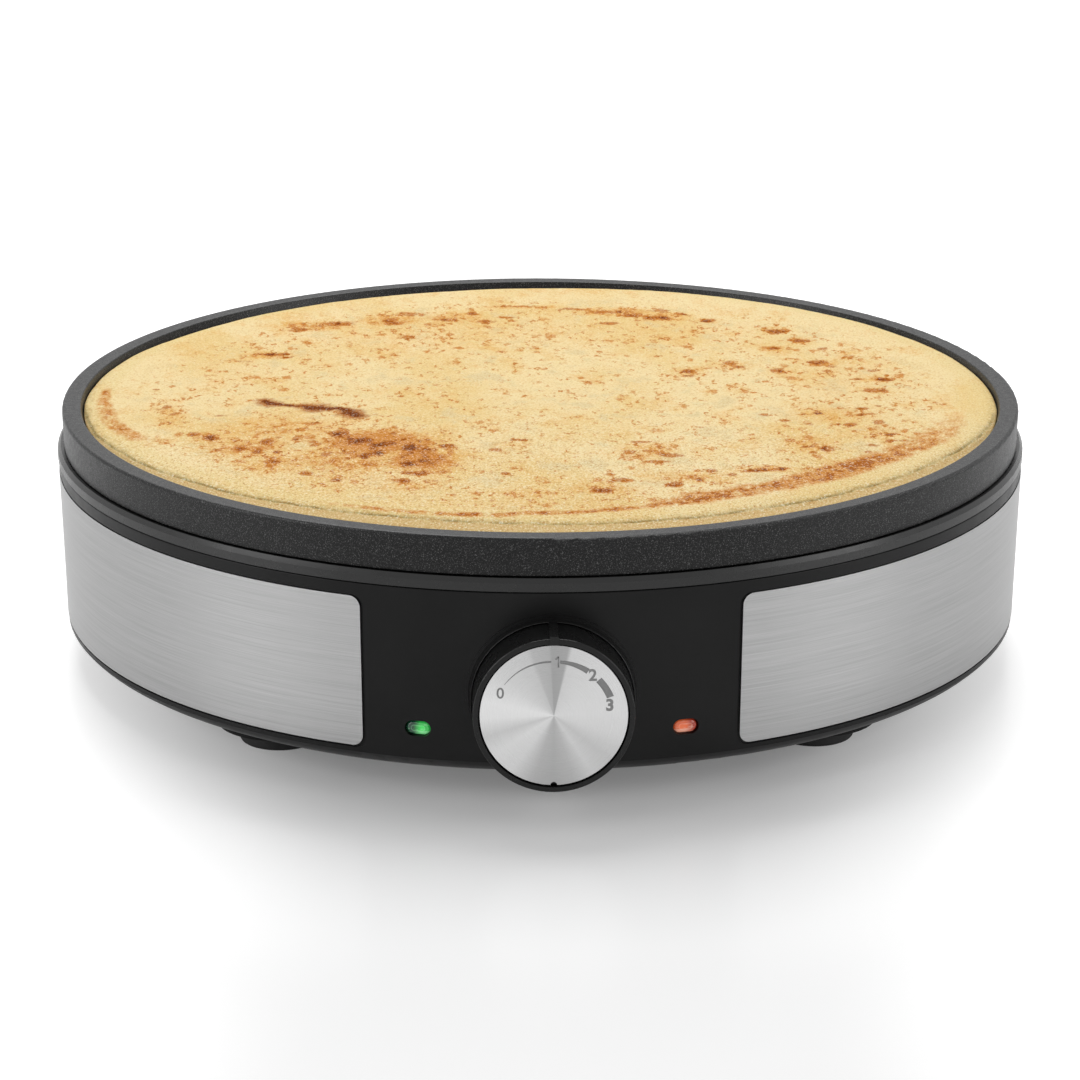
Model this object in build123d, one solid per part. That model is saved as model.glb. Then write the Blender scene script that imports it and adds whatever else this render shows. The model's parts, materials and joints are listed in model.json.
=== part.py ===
from build123d import *
import math
import os

# Electric crepe maker. Millimetres, +Z up, the knob faces -Y.
# The origin is on the body's vertical axis, at the level that the foot pads stand on.
# Angles round the body are counted from the front (-Y), positive towards +X.

# ---- driving dimensions: heights, stacked up from the surface under the feet
foot_height = 9.0
base_edge_height = 4.9
housing_height = 54.8
ring_height = 4.45
plate_shadow_gap = 0.35
plate_side_height = 11.9

# ---- driving dimensions: round body
rim_radius = 160.0
housing_overhang = 1.5
ring_overhang = 0.3
base_edge_run = 7.36
side_taper = 1.4
housing_wall = 3.4

# ---- baking plate
rim_width = 6.2
rim_depth = 4.4
rim_slope = 1.4
rim_rounding = 1.0
plate_thickness = 4.8
plate_skirt = 4.0
plate_draft = 0.35
element_ridge_width = 13.0
element_ridge_depth = 3.8

# ---- crepe
crepe_edge_gap = 0.6
crepe_thickness = 3.1
crepe_rounding = 1.0

# ---- heating element under the plate
element_ring_radius = 96.0
element_tube_radius = 3.3
element_gap_half_angle = 25.0
element_bend_radius = 12.0
element_leg_length = 10.4
element_seat_clearance = 0.05
element_pin_radius = 1.2
element_pin_length = 10.0
element_bead_length = 4.0
element_bead_radius = 2.8
clamp_angles = (60.0, 180.0, 300.0)
clamp_reach = 9.0
clamp_width = 9.0
clamp_thickness = 1.0
clamp_boss_radius = 3.6
clamp_screw_radius = 1.25

# ---- how the plate, reflector and ring are joined
plate_boss_angles = (45.0, 135.0, 225.0, 315.0)
plate_boss_margin = 9.0
plate_boss_radius = 7.0
plate_boss_depth = 9.2
plate_screw_radius = 2.0
reflector_sheet = 0.8
reflector_post_gap = 6.0
reflector_element_gap = 8.0
reflector_dish_run = 7.0
reflector_dish_depth = 8.2
reflector_leg_clearance = 3.0
reflector_notch_half_width = 23.0
plate_washer_thickness = 1.2
plate_washer_radius = 6.0
lug_thickness = 3.0
lug_width = 20.0
lug_end_margin = 7.5

# ---- top ring
ring_shoulder_height = 1.4
ring_shoulder_run = 1.0
ring_groove_height = 0.4
ring_groove_depth = 1.6
ring_wall = 3.0
ring_spigot_clearance = 0.3
ring_screw_angles = (20.0, 110.0, 200.0, 290.0)
ring_screw_inset = 3.7
ring_screw_radius = 1.5
ring_post_radius = 4.5
ring_post_height = 8.0
housing_ear_height = 6.0

# ---- steel side panels
panel_front_angle = 21.0
panel_sheet = 0.8
panel_stand_off = 0.2
panel_top_margin = 4.2
panel_bottom_margin = 2.1
panel_corner = 4.0
panel_side_gap = 1.0
panel_top_gap = 0.3
panel_bottom_gap = 0.7
panel_adhesive = 0.1

# ---- base pan and feet
base_floor = 2.4
base_edge_bulge = 0.8
base_lip_wall = 2.4
base_lip_height = 3.6
base_lip_clearance = 0.5
foot_inset = 22.3
foot_angle = 40.5
foot_seat_radius = 20.0
foot_seat_height = 2.8
foot_boss_radius = 13.4
foot_boss_height = 4.6
foot_pad_radius = 13.0
foot_pad_rounding = 1.2
foot_stem_radius = 5.0
foot_stem_length = 2.6
foot_stem_clearance = 0.15
base_screw_angles = (30.0, 90.0, 150.0, 210.0, 270.0, 330.0)
base_screw_inset = 8.2
base_screw_radius = 1.75
base_screw_well = 3.0
base_screw_well_wall = 2.2
base_screw_head_clearance = 0.4
base_post_radius = 4.2
base_post_height = 17.0
base_rib_width = 3.0
vent_count = 24
vent_width = 2.6
vent_length = 22.0
vent_circles = (52.0, 84.0)
snap_nub_angles = (-14.5, 21.3)
snap_nub_width = 2.4
snap_nub_height = 0.5

# ---- knob, dial and collar
knob_height = 35.6
collar_radius = 25.8
collar_front_radius = 24.9
collar_stand_off = 3.2
collar_floor_depth = 2.8
collar_floor_thickness = 4.7
collar_rounding = 0.4
collar_bead_radius = 26.3
collar_bead_height = 0.4
knob_radius = 24.25
knob_wall = 1.65
knob_front_stand_off = 17.0
knob_collar_clearance = 0.45
knob_back_clearance = 0.6
knob_web = 3.0
knob_web_inset = 6.6
knob_hub_radius = 5.5
knob_hub_front_clearance = 1.0
knob_edge_rounding = 0.5
knob_turn_low = 64.6
knob_turn_high = 78.9
pointer_width = 2.6
pointer_height = 1.1
pointer_stand_off = 1.0
dial_radius = 22.05
dial_sheet = 0.8
dial_sink = 0.6
dial_notch_radius = 1.0
dial_carrier_thickness = 1.7
dial_carrier_inset = 0.25
dial_leg_radius = 2.2
dial_leg_circle = 14.0
dial_leg_clearance = 0.6
dial_screw_radius = 1.1
dial_screw_length = 9.0

# ---- thermostat
shaft_radius = 3.0
shaft_running_clearance = 0.05
shaft_flat_depth = 1.0
shaft_flat_length = 10.0
shaft_hole_clearance = 0.6
shaft_collar_radius = 4.2
shaft_collar_length = 0.8
shaft_end_play = 0.3
bracket_setback = 12.4
bracket_sheet = 1.2
bracket_half_width = 13.0
bracket_tab_half_width = 15.0
bracket_tab_length = 24.0
bracket_bottom_margin = 9.5
bracket_screw_spread = 9.5
bracket_screw_setback = 16.0
bracket_screw_radius = 1.5
bracket_boss_radius = 4.5
bracket_boss_depth = 2.0
bush_radius = 4.5
bush_clearance = 0.1
bush_front_length = 5.0
bush_flange_radius = 6.0
bush_flange = 1.2
bush_nut_flats = 12.0
bush_nut_thickness = 3.0
pusher_radius = 1.5
pusher_clearance = 0.06
pusher_socket_depth = 1.5
pusher_socket_play = 0.5
pusher_arm_play = 0.4
stack_rise = 24.4
stack_insulator_radius = 5.0
stack_insulator_lengths = (5.5, 3.0, 3.0)
stack_rivet_radius = 1.5
stack_rivet_head_radius = 3.0
stack_rivet_head = 1.0
stack_clearance = 0.1
leaf_half_width = 3.5
arm_sheet = 0.4
fixed_leaf_sheet = 0.6
bimetal_sheet = 0.8
bimetal_half_width = 4.0
leaf_drop = 7.1
arm_root_drop = 5.0
arm_hinge_gap = 0.3
contact_drop = 4.6
contact_radius = 2.0
contact_gap = 0.7
arm_contact_height = 1.0
blade_reach = 16.0
blade_half_width = 3.15
sleeve_start = 9.5
sleeve_end = 20.0
sleeve_half_depth = 2.0
sleeve_half_height = 3.9

# ---- indicator lamps
lamp_angle = 14.7
lamp_height = 23.6
lens_length = 7.4
lens_width = 4.2
lens_gap = 0.4
lens_sink = 0.35
lens_rounding = 0.9
lens_flange_length = 12.0
lens_flange_width = 8.0
lens_flange = 1.4
lamp_pad_half_width = 8.0
lamp_pad_half_height = 5.8
lamp_pad_depth = 3.0
lamp_bulb_radius = 2.0
lamp_bulb_length = 10.0
lamp_bulb_lens_gap = 0.6
lamp_holder_half_width = 7.0
lamp_holder_half_height = 4.5
lamp_holder_depth = 9.2
lamp_holder_clearance = 0.1

# ---- cord gland and terminal block
gland_height = 30.0
gland_seat_radius = 12.0
gland_seat_stand_off = 1.9
gland_seat_depth = 10.4
gland_flange_radius = 10.5
gland_flange = 2.6
gland_nose_length = 10.4
gland_nose_root_radius = 8.0
gland_nose_tip_radius = 6.0
gland_body_radius = 6.2
gland_body_length = 14.4
gland_body_clearance = 0.2
gland_bore_radius = 3.4
gland_nut_flats = 16.0
gland_nut_thickness = 3.6
block_length = 34.0
block_depth = 18.0
block_height = 16.1
block_gland_gap = 25.0
block_pole_spacing = 10.0
block_screw_radius = 2.2
block_screw_depth = 5.0
block_entry_radius = 2.6
block_entry_depth = 6.0

# ---- wires and their ends
wire_radius = 1.3
wire_stub = 16.0
lamp_lead_radius = 1.1
lamp_lead_stub = 14.0
fuse_wire_reach = 42.0
fuse_wire_bends = (6.0, 14.0)
supply_wire_stubs = (20.0, 18.0)
supply_wire_bends = (8.0, 10.0)
neutral_wire_stubs = (20.0, 50.0)
neutral_wire_rises = (2.0, 1.0)
neutral_wire_bends = (16.0, 16.0, 5.0)
earth_wire_stubs = (14.0, 12.0)
earth_wire_bends = (7.0, 5.0)
element_wire_offset = (8.0, 18.0)
element_wire_drops = (6.0, 12.0)
element_wire_bends = (6.0, 8.0, 4.0)
power_lead_level = 3.2
power_lead_rise = 2.0
power_lead_corners = ((-98.0, -62.0), (-104.0, 30.0))
power_lead_pole_offset = 3.0
power_lead_stub = 34.0
power_lead_bends = (10.0, 30.0, 24.0, 20.0)
heat_lead_corner = (28.0, 6.0, 8.0)
heat_lead_stub = 20.0
heat_lead_bends = (8.0, 5.0, 5.0)
pin_connector_radius = 2.4
pin_connector_length = 8.0
fuse_radius = 2.0
fuse_length = 20.0
fuse_lead_radius = 0.5
fuse_lead_length = 6.0
fuse_centre = (-58.0, 0.0)
fuse_clip_width = 8.0
fuse_clip_length = 10.0
fuse_clip_floor = 1.6
earth_point = (45.0, 55.0)
earth_tag_radius = 4.5
earth_tag_sheet = 0.8
earth_tag_neck = 13.0
earth_screw_radius = 2.0

# ---- shared clearances and screw heads
screw_clearance = 0.2
thread_clearance = 0.05
head_radius_ratio = 2.0
head_height_ratio = 1.2
thread_depth = 6.0

# ---- levels and radii that follow from the driving dimensions
base_z = foot_height
housing_z = base_z + base_edge_height
housing_top = housing_z + housing_height
ring_top = housing_top + ring_height
plate_z = ring_top + plate_shadow_gap
rim_top = plate_z + plate_side_height
cook_z = rim_top - rim_depth
plate_under = cook_z - plate_thickness
element_z = plate_under - element_ridge_depth
clamp_z = element_z - element_tube_radius
element_leg_z = element_z - element_bend_radius - element_leg_length
element_pin_z = element_leg_z - element_pin_length
reflector_z = plate_under - plate_boss_depth
washer_z = reflector_z - reflector_sheet
lug_top = washer_z - plate_washer_thickness
lug_z = lug_top - lug_thickness
reflector_floor_z = reflector_z - reflector_dish_depth
base_floor_top = base_z + base_floor
base_screw_z = base_z + base_screw_well
base_post_z = base_screw_z + base_floor
lip_top = housing_z + base_lip_height
crepe_radius = rim_radius - rim_width - rim_slope - crepe_edge_gap
housing_radius = rim_radius + housing_overhang
ring_radius = housing_radius + ring_overhang
reflector_floor_radius = element_ring_radius + reflector_element_gap
reflector_dish_radius = reflector_floor_radius + reflector_dish_run
plate_boss_circle = reflector_dish_radius + plate_boss_margin


def wall_radius(height):
    """Outer radius of the tapered housing wall at a height."""
    return housing_radius - (housing_top - height) * math.tan(math.radians(side_taper))


base_underside_radius = wall_radius(housing_z) - base_edge_run
base_screw_circle = base_underside_radius - base_screw_inset
foot_circle = base_underside_radius - foot_inset
ring_spigot_radius = wall_radius(lug_z) - housing_wall - ring_spigot_clearance
ring_inner_radius = ring_spigot_radius - ring_wall
ring_screw_circle = ring_inner_radius - ring_screw_inset
reflector_radius = ring_screw_circle - ring_post_radius - reflector_post_gap


def plan_point(radius, angle):
    """X and Y at a radius and an angle counted from the front."""
    turn = math.radians(angle)
    return radius * math.sin(turn), -radius * math.cos(turn)


def outward_plane(angle, height):
    """Plane through the body axis whose normal points outwards at an angle from the front."""
    turn = math.radians(angle)
    return Plane(
        origin=(0, 0, height),
        x_dir=(math.cos(turn), math.sin(turn), 0),
        z_dir=(math.sin(turn), -math.cos(turn), 0),
    )


def post(radius, low, high, x=0.0, y=0.0):
    """Upright round post between two heights."""
    return Pos(x, y, (low + high) / 2) * Cylinder(radius, high - low)


def rod(radius, front, back, x=0.0, z=knob_height):
    """Round rod along Y between two Y values."""
    return Pos(x, (front + back) / 2, z) * Rot(90, 0, 0) * Cylinder(radius, back - front)


def block(x_span, y_span, z_span):
    """Rectangular block between two values on each axis."""
    spans = (x_span, y_span, z_span)
    centre = [(low + high) / 2 for low, high in spans]
    return Pos(*centre) * Box(*[high - low for low, high in spans])


def turned(points):
    """Solid of revolution about Z from radius and height pairs."""
    return revolve(Plane.XZ * make_face(Polyline(*points, close=True)), Axis.Z)


def round_rims(solid, radius, height, rounding):
    """Round the circular edges that lie at a radius and a height."""
    rims = [
        edge
        for edge in solid.edges().filter_by(GeomType.CIRCLE)
        if abs(edge.radius - radius) < 0.01 and abs(edge.arc_center.Z - height) < 0.01
    ]
    return fillet(rims, rounding)


def screw(radius, head_z, tip_z, x, y):
    """Pan-head screw driven upwards, with its head below head_z."""
    head = post(radius * head_radius_ratio, head_z - radius * head_height_ratio, head_z, x, y)
    return head + post(radius, head_z, tip_z, x, y)


def wall_patch(outer_sink, inner_sink, low, high, from_angle, to_angle, corner):
    """Curved patch that follows the wall, between two depths below its surface."""
    section = make_face(
        Polyline(
            (wall_radius(low) - outer_sink, low),
            (wall_radius(high) - outer_sink, high),
            (wall_radius(high) - inner_sink, high),
            (wall_radius(low) - inner_sink, low),
            close=True,
        )
    )
    patch = revolve(Plane.XZ * section, Axis.Z, to_angle - from_angle)
    patch = Rot(0, 0, from_angle - 90) * patch
    corners = [
        edge
        for edge in patch.edges().filter_by(GeomType.LINE)
        if abs(edge.length - abs(inner_sink - outer_sink)) < 0.01 and abs(edge.tangent_at(0).Z) < 0.01
    ]
    return fillet(corners, corner)


def wire(points, radii, radius):
    """Round wire along straight runs joined by tangent arcs."""
    path = FilletPolyline(*points, radius=radii)
    section = Plane(origin=path @ 0, z_dir=path % 0) * Circle(radius)
    return sweep(section, path=path)


# ---- baking plate, crepe and element


def make_cooking_plate():
    inner_skirt = rim_radius - plate_skirt
    land = rim_radius - rim_width
    plate = turned(
        [
            (0, plate_under),
            (inner_skirt, plate_under),
            (inner_skirt, plate_z),
            (rim_radius - plate_draft, plate_z),
            (rim_radius, rim_top),
            (land, rim_top),
            (land - rim_slope, cook_z),
            (0, cook_z),
        ]
    )
    plate = round_rims(plate, rim_radius, rim_top, rim_rounding)
    plate = round_rims(plate, land, rim_top, rim_rounding / 2)
    ridge_inner = element_ring_radius - element_ridge_width / 2
    ridge_outer = element_ring_radius + element_ridge_width / 2
    plate += turned(
        [
            (ridge_inner, element_z),
            (ridge_outer, element_z),
            (ridge_outer, plate_under),
            (ridge_inner, plate_under),
        ]
    )
    for angle in plate_boss_angles:
        plate += post(plate_boss_radius, reflector_z, plate_under, *plan_point(plate_boss_circle, angle))
    for x, y in clamp_screw_points():
        plate += post(clamp_boss_radius, clamp_z, plate_under, x, y)
    for x, y in bracket_screw_points():
        plate += post(bracket_boss_radius, bracket_top, plate_under, x, y)
    groove = Torus(element_ring_radius, element_tube_radius + element_seat_clearance)
    plate -= Pos(0, 0, element_z) * groove
    for angle in plate_boss_angles:
        x, y = plan_point(plate_boss_circle, angle)
        plate -= post(plate_screw_radius + thread_clearance, reflector_z, plate_under, x, y)
    for x, y in clamp_screw_points():
        plate -= post(clamp_screw_radius + thread_clearance, clamp_z, plate_under, x, y)
    for x, y in bracket_screw_points():
        top = bracket_top + thread_depth - bracket_sheet
        plate -= post(bracket_screw_radius + thread_clearance, bracket_top, top, x, y)
    return plate


def make_crepe():
    crepe = post(crepe_radius, cook_z, cook_z + crepe_thickness)
    return round_rims(crepe, crepe_radius, cook_z + crepe_thickness, crepe_rounding)


def clamp_screw_points():
    """Two screws for each clamp bar, one each side of the element."""
    sides = (-clamp_reach, clamp_reach)
    return [plan_point(element_ring_radius + side, angle) for angle in clamp_angles for side in sides]


def element_leg_point(side):
    """Where an element leg goes down: side is +1 on the right and -1 on the left."""
    angle = math.radians(element_gap_half_angle)
    x, y = plan_point(element_ring_radius, element_gap_half_angle)
    x -= element_bend_radius * math.cos(angle)
    y -= element_bend_radius * math.sin(angle)
    return side * x, y


def make_heating_element():
    arc = 360 - 2 * element_gap_half_angle
    section = Plane.XZ * Pos(element_ring_radius, element_z) * Circle(element_tube_radius)
    ring = Rot(0, 0, element_gap_half_angle - 90) * revolve(section, Axis.Z, arc)
    turn = math.radians(element_gap_half_angle)
    end = Vector(*plan_point(element_ring_radius, element_gap_half_angle), element_z)
    along = Vector(-math.cos(turn), -math.sin(turn), 0)
    pivot = end - Vector(0, 0, element_bend_radius)
    bend_axis = Axis(pivot, Vector(0, 0, 1).cross(along))
    bend = revolve(Plane(origin=end, z_dir=along) * Circle(element_tube_radius), bend_axis, 90)
    bend_z = element_z - element_bend_radius
    leg = bend + post(element_tube_radius, element_leg_z, bend_z, *element_leg_point(1))
    return ring + leg + mirror(leg, about=Plane.YZ)


def make_element_beads():
    beads = []
    for side in (-1, 1):
        x, y = element_leg_point(side)
        bead = post(element_bead_radius, element_leg_z - element_bead_length, element_leg_z, x, y)
        bead -= post(
            element_pin_radius + thread_clearance, element_leg_z - element_bead_length, element_leg_z, x, y
        )
        beads.append(bead)
    return Compound(beads)


def make_element_pins():
    points = [element_leg_point(side) for side in (-1, 1)]
    return Compound([post(element_pin_radius, element_pin_z, element_leg_z, x, y) for x, y in points])


def make_pin_connectors():
    low = element_pin_z - pin_connector_length / 2
    high = element_pin_z + pin_connector_length / 2
    connectors = []
    for side in (-1, 1):
        x, y = element_leg_point(side)
        sleeve = post(pin_connector_radius, low, high, x, y)
        sleeve -= post(element_pin_radius + thread_clearance, element_pin_z, high, x, y)
        connectors.append(sleeve)
    return Compound(connectors)


def make_element_clamps():
    bars = []
    for angle in clamp_angles:
        x, y = plan_point(element_ring_radius, angle)
        length = 2 * (clamp_reach + clamp_boss_radius)
        bar = Pos(x, y, clamp_z - clamp_thickness / 2) * Rot(0, 0, angle) * Box(
            clamp_width, length, clamp_thickness
        )
        for side in (-clamp_reach, clamp_reach):
            hole_x, hole_y = plan_point(element_ring_radius + side, angle)
            hole_radius = clamp_screw_radius + screw_clearance
            bar -= post(hole_radius, clamp_z - clamp_thickness, clamp_z, hole_x, hole_y)
        bars.append(bar)
    return Compound(bars)


def make_clamp_screws():
    tip = clamp_z + thread_depth - clamp_thickness
    points = clamp_screw_points()
    return Compound([screw(clamp_screw_radius, clamp_z - clamp_thickness, tip, x, y) for x, y in points])


# ---- reflector, washers and plate screws


def make_reflector_plate():
    sheet = reflector_sheet
    reflector = turned(
        [
            (0, reflector_floor_z),
            (reflector_floor_radius, reflector_floor_z),
            (reflector_dish_radius, reflector_z),
            (reflector_radius, reflector_z),
            (reflector_radius, reflector_z - sheet),
            (reflector_dish_radius + sheet / 2, reflector_z - sheet),
            (reflector_floor_radius + sheet / 2, reflector_floor_z - sheet),
            (0, reflector_floor_z - sheet),
        ]
    )
    for angle in plate_boss_angles:
        x, y = plan_point(plate_boss_circle, angle)
        reflector -= post(plate_screw_radius + screw_clearance, reflector_z - sheet, reflector_z, x, y)
    for side in (-1, 1):
        x, y = element_leg_point(side)
        hole = element_tube_radius + reflector_leg_clearance
        reflector -= post(hole, reflector_floor_z - sheet, reflector_z, x, y)
    notch = reflector_notch_half_width
    inner_edge = -(reflector_dish_radius + reflector_leg_clearance)
    reflector -= block((-notch, notch), (-reflector_radius, inner_edge), (reflector_z - sheet, reflector_z))
    reflector -= post(
        earth_screw_radius + screw_clearance, reflector_floor_z - sheet, reflector_floor_z, *earth_point
    )
    return reflector


def make_plate_washers():
    washers = []
    for angle in plate_boss_angles:
        x, y = plan_point(plate_boss_circle, angle)
        washer = post(plate_washer_radius, lug_top, washer_z, x, y)
        washer -= post(plate_screw_radius + screw_clearance, lug_top, washer_z, x, y)
        washers.append(washer)
    return Compound(washers)


def make_plate_screws():
    tip = reflector_z + thread_depth
    points = [plan_point(plate_boss_circle, angle) for angle in plate_boss_angles]
    return Compound([screw(plate_screw_radius, lug_z, tip, x, y) for x, y in points])


# ---- top ring


def make_top_ring():
    contact = housing_radius - ring_groove_depth
    groove_z = housing_top + ring_groove_height
    ring = turned(
        [
            (ring_inner_radius, lug_z),
            (ring_spigot_radius, lug_z),
            (ring_spigot_radius, housing_top),
            (contact, housing_top),
            (contact, groove_z),
            (ring_radius, groove_z),
            (ring_radius, ring_top - ring_shoulder_height),
            (ring_radius - ring_shoulder_run, ring_top),
            (ring_inner_radius, ring_top),
        ]
    )
    for angle in plate_boss_angles:
        inner = plate_boss_circle - lug_end_margin
        outer = ring_inner_radius + ring_wall / 2
        lug = Pos(0, 0, (inner + outer) / 2) * Box(lug_width, lug_thickness, outer - inner)
        ring += outward_plane(angle, lug_z + lug_thickness / 2) * lug
    for angle in plate_boss_angles:
        x, y = plan_point(plate_boss_circle, angle)
        ring -= post(plate_screw_radius + screw_clearance, lug_z, lug_top, x, y)
    for angle in ring_screw_angles:
        x, y = plan_point(ring_screw_circle, angle)
        ring += post(ring_post_radius, lug_z, lug_z + ring_post_height, x, y)
        ring -= post(ring_screw_radius + thread_clearance, lug_z, lug_z + thread_depth, x, y)
    return ring


def make_ring_screws():
    head_z = lug_z - housing_ear_height
    points = [plan_point(ring_screw_circle, angle) for angle in ring_screw_angles]
    tip = lug_z + thread_depth - thread_clearance
    return Compound([screw(ring_screw_radius, head_z, tip, x, y) for x, y in points])


# ---- housing and side panels

collar_wall_y = -wall_radius(knob_height)
collar_front_y = collar_wall_y - collar_stand_off
collar_floor_y = collar_front_y + collar_floor_depth
collar_back_y = collar_floor_y + collar_floor_thickness
gland_seat_y = housing_radius + gland_seat_stand_off
gland_inner_y = gland_seat_y - gland_seat_depth
panel_low = housing_z + panel_bottom_margin
panel_high = housing_top - panel_top_margin


def knob_collar_relief():
    """Round collar boss round the knob, cut off level with the housing's lower edge."""
    back_plane = Plane(origin=(0, collar_back_y, knob_height), z_dir=(0, -1, 0))
    depth = collar_back_y - collar_front_y
    cone = Solid.make_cone(collar_radius, collar_front_radius, depth, back_plane)
    rims = [edge for edge in cone.edges() if abs(edge.center().Y - collar_front_y) < 0.01]
    cone = fillet(rims, collar_rounding)
    keep = 2 * collar_radius
    y_span = (collar_front_y - keep, collar_back_y + keep)
    below = block((-keep, keep), y_span, (housing_z - keep, housing_z))
    return cone - below


def knob_collar_bead():
    """Low bead that follows the wall round the foot of the collar."""
    low_radius = wall_radius(housing_z) + collar_bead_height
    high_radius = wall_radius(housing_top) + collar_bead_height
    skin = turned([(0, housing_z), (low_radius, housing_z), (high_radius, housing_top), (0, housing_top)])
    return skin & rod(collar_bead_radius, -housing_radius - collar_bead_height, collar_back_y)


def side_pocket():
    """Pocket in the right wall for a steel panel and the gap round it."""
    spread = math.degrees(panel_side_gap / housing_radius)
    depth = panel_sheet + panel_adhesive - panel_stand_off
    return wall_patch(
        -housing_wall,
        depth,
        panel_low - panel_bottom_gap,
        panel_high + panel_top_gap,
        panel_front_angle - spread,
        180 - panel_front_angle + spread,
        panel_corner,
    )


def lamp_window(angle, length, width, inner, outer, rounding=0.0):
    """Obround rod through the wall at a lamp, between two distances from the body axis."""
    straight = length - width
    window = extrude(SlotCenterToCenter(straight, width), amount=outer - inner)
    if rounding:
        window = fillet(window.edges().group_by(Axis.Z)[-1], rounding)
    return outward_plane(angle, lamp_height) * Pos(0, 0, inner) * window


lamp_wall_radius = wall_radius(lamp_height)
lamp_pad_radius = lamp_wall_radius - housing_wall - lamp_pad_depth


def make_housing():
    low_outer = wall_radius(housing_z)
    housing = turned(
        [
            (low_outer - housing_wall, housing_z),
            (low_outer, housing_z),
            (housing_radius, housing_top),
            (housing_radius - housing_wall, housing_top),
        ]
    )
    housing = round_rims(housing, housing_radius, housing_top, collar_rounding)
    for angle in ring_screw_angles:
        ear_z = lug_z - housing_ear_height
        x, y = plan_point(ring_screw_circle, angle)
        housing += post(ring_post_radius, ear_z, lug_z, x, y)
        outer = wall_radius(ear_z) - housing_wall / 2
        bridge = Pos(0, 0, (ring_screw_circle + outer) / 2) * Box(
            2 * ring_post_radius, housing_ear_height, outer - ring_screw_circle
        )
        housing += outward_plane(angle, (ear_z + lug_z) / 2) * bridge
    for angle in base_screw_angles:
        x, y = plan_point(base_screw_circle, angle)
        top = base_post_z + base_post_height
        housing += post(base_post_radius, base_post_z, top, x, y)
        outer = wall_radius(lip_top) - housing_wall / 2
        rib_low = lip_top + base_lip_clearance
        rib = Pos(0, 0, (base_screw_circle + outer) / 2) * Box(
            base_rib_width, top - rib_low, outer - base_screw_circle
        )
        housing += outward_plane(angle, (rib_low + top) / 2) * rib
    housing += knob_collar_relief()
    housing += knob_collar_bead()
    for angle in (-lamp_angle, lamp_angle):
        inner = lamp_pad_radius
        outer = lamp_wall_radius - housing_wall / 2
        pad = Pos(0, 0, (inner + outer) / 2) * Box(
            2 * lamp_pad_half_width, 2 * lamp_pad_half_height, outer - inner
        )
        housing += outward_plane(angle, lamp_height) * pad
    housing += rod(gland_seat_radius, gland_inner_y, gland_seat_y, z=gland_height)
    well_radius = knob_radius + knob_collar_clearance
    housing -= rod(well_radius, collar_front_y, collar_floor_y)
    housing -= rod(shaft_radius + shaft_hole_clearance, collar_floor_y, collar_back_y)
    for side in (-1, 1):
        hole = dial_screw_radius + screw_clearance
        housing -= rod(hole, collar_floor_y, collar_back_y, x=side * dial_leg_circle)
    pocket = side_pocket()
    housing -= pocket
    housing -= mirror(pocket, about=Plane.YZ)
    for angle in (-lamp_angle, lamp_angle):
        housing -= lamp_window(
            angle,
            lens_length + 2 * lens_gap,
            lens_width + 2 * lens_gap,
            lamp_pad_radius - lens_flange,
            lamp_wall_radius + housing_wall,
        )
    housing -= rod(gland_body_radius + gland_body_clearance, gland_inner_y, gland_seat_y, z=gland_height)
    for angle in ring_screw_angles:
        x, y = plan_point(ring_screw_circle, angle)
        housing -= post(ring_screw_radius + screw_clearance, lug_z - housing_ear_height, lug_z, x, y)
    for angle in base_screw_angles:
        x, y = plan_point(base_screw_circle, angle)
        tip = base_post_z + 2 * thread_depth
        housing -= post(base_screw_radius + thread_clearance, base_post_z, tip, x, y)
    return housing


def make_right_side_panel():
    return wall_patch(
        -panel_stand_off,
        panel_sheet - panel_stand_off,
        panel_low,
        panel_high,
        panel_front_angle,
        180 - panel_front_angle,
        panel_corner - panel_side_gap / 2,
    )


# ---- base pan and feet


def foot_points():
    """Centres of the four feet, by name."""
    angles = {
        "front_left": -foot_angle,
        "front_right": foot_angle,
        "rear_left": foot_angle - 180,
        "rear_right": 180 - foot_angle,
    }
    return {name: plan_point(foot_circle, angle) for name, angle in angles.items()}


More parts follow.
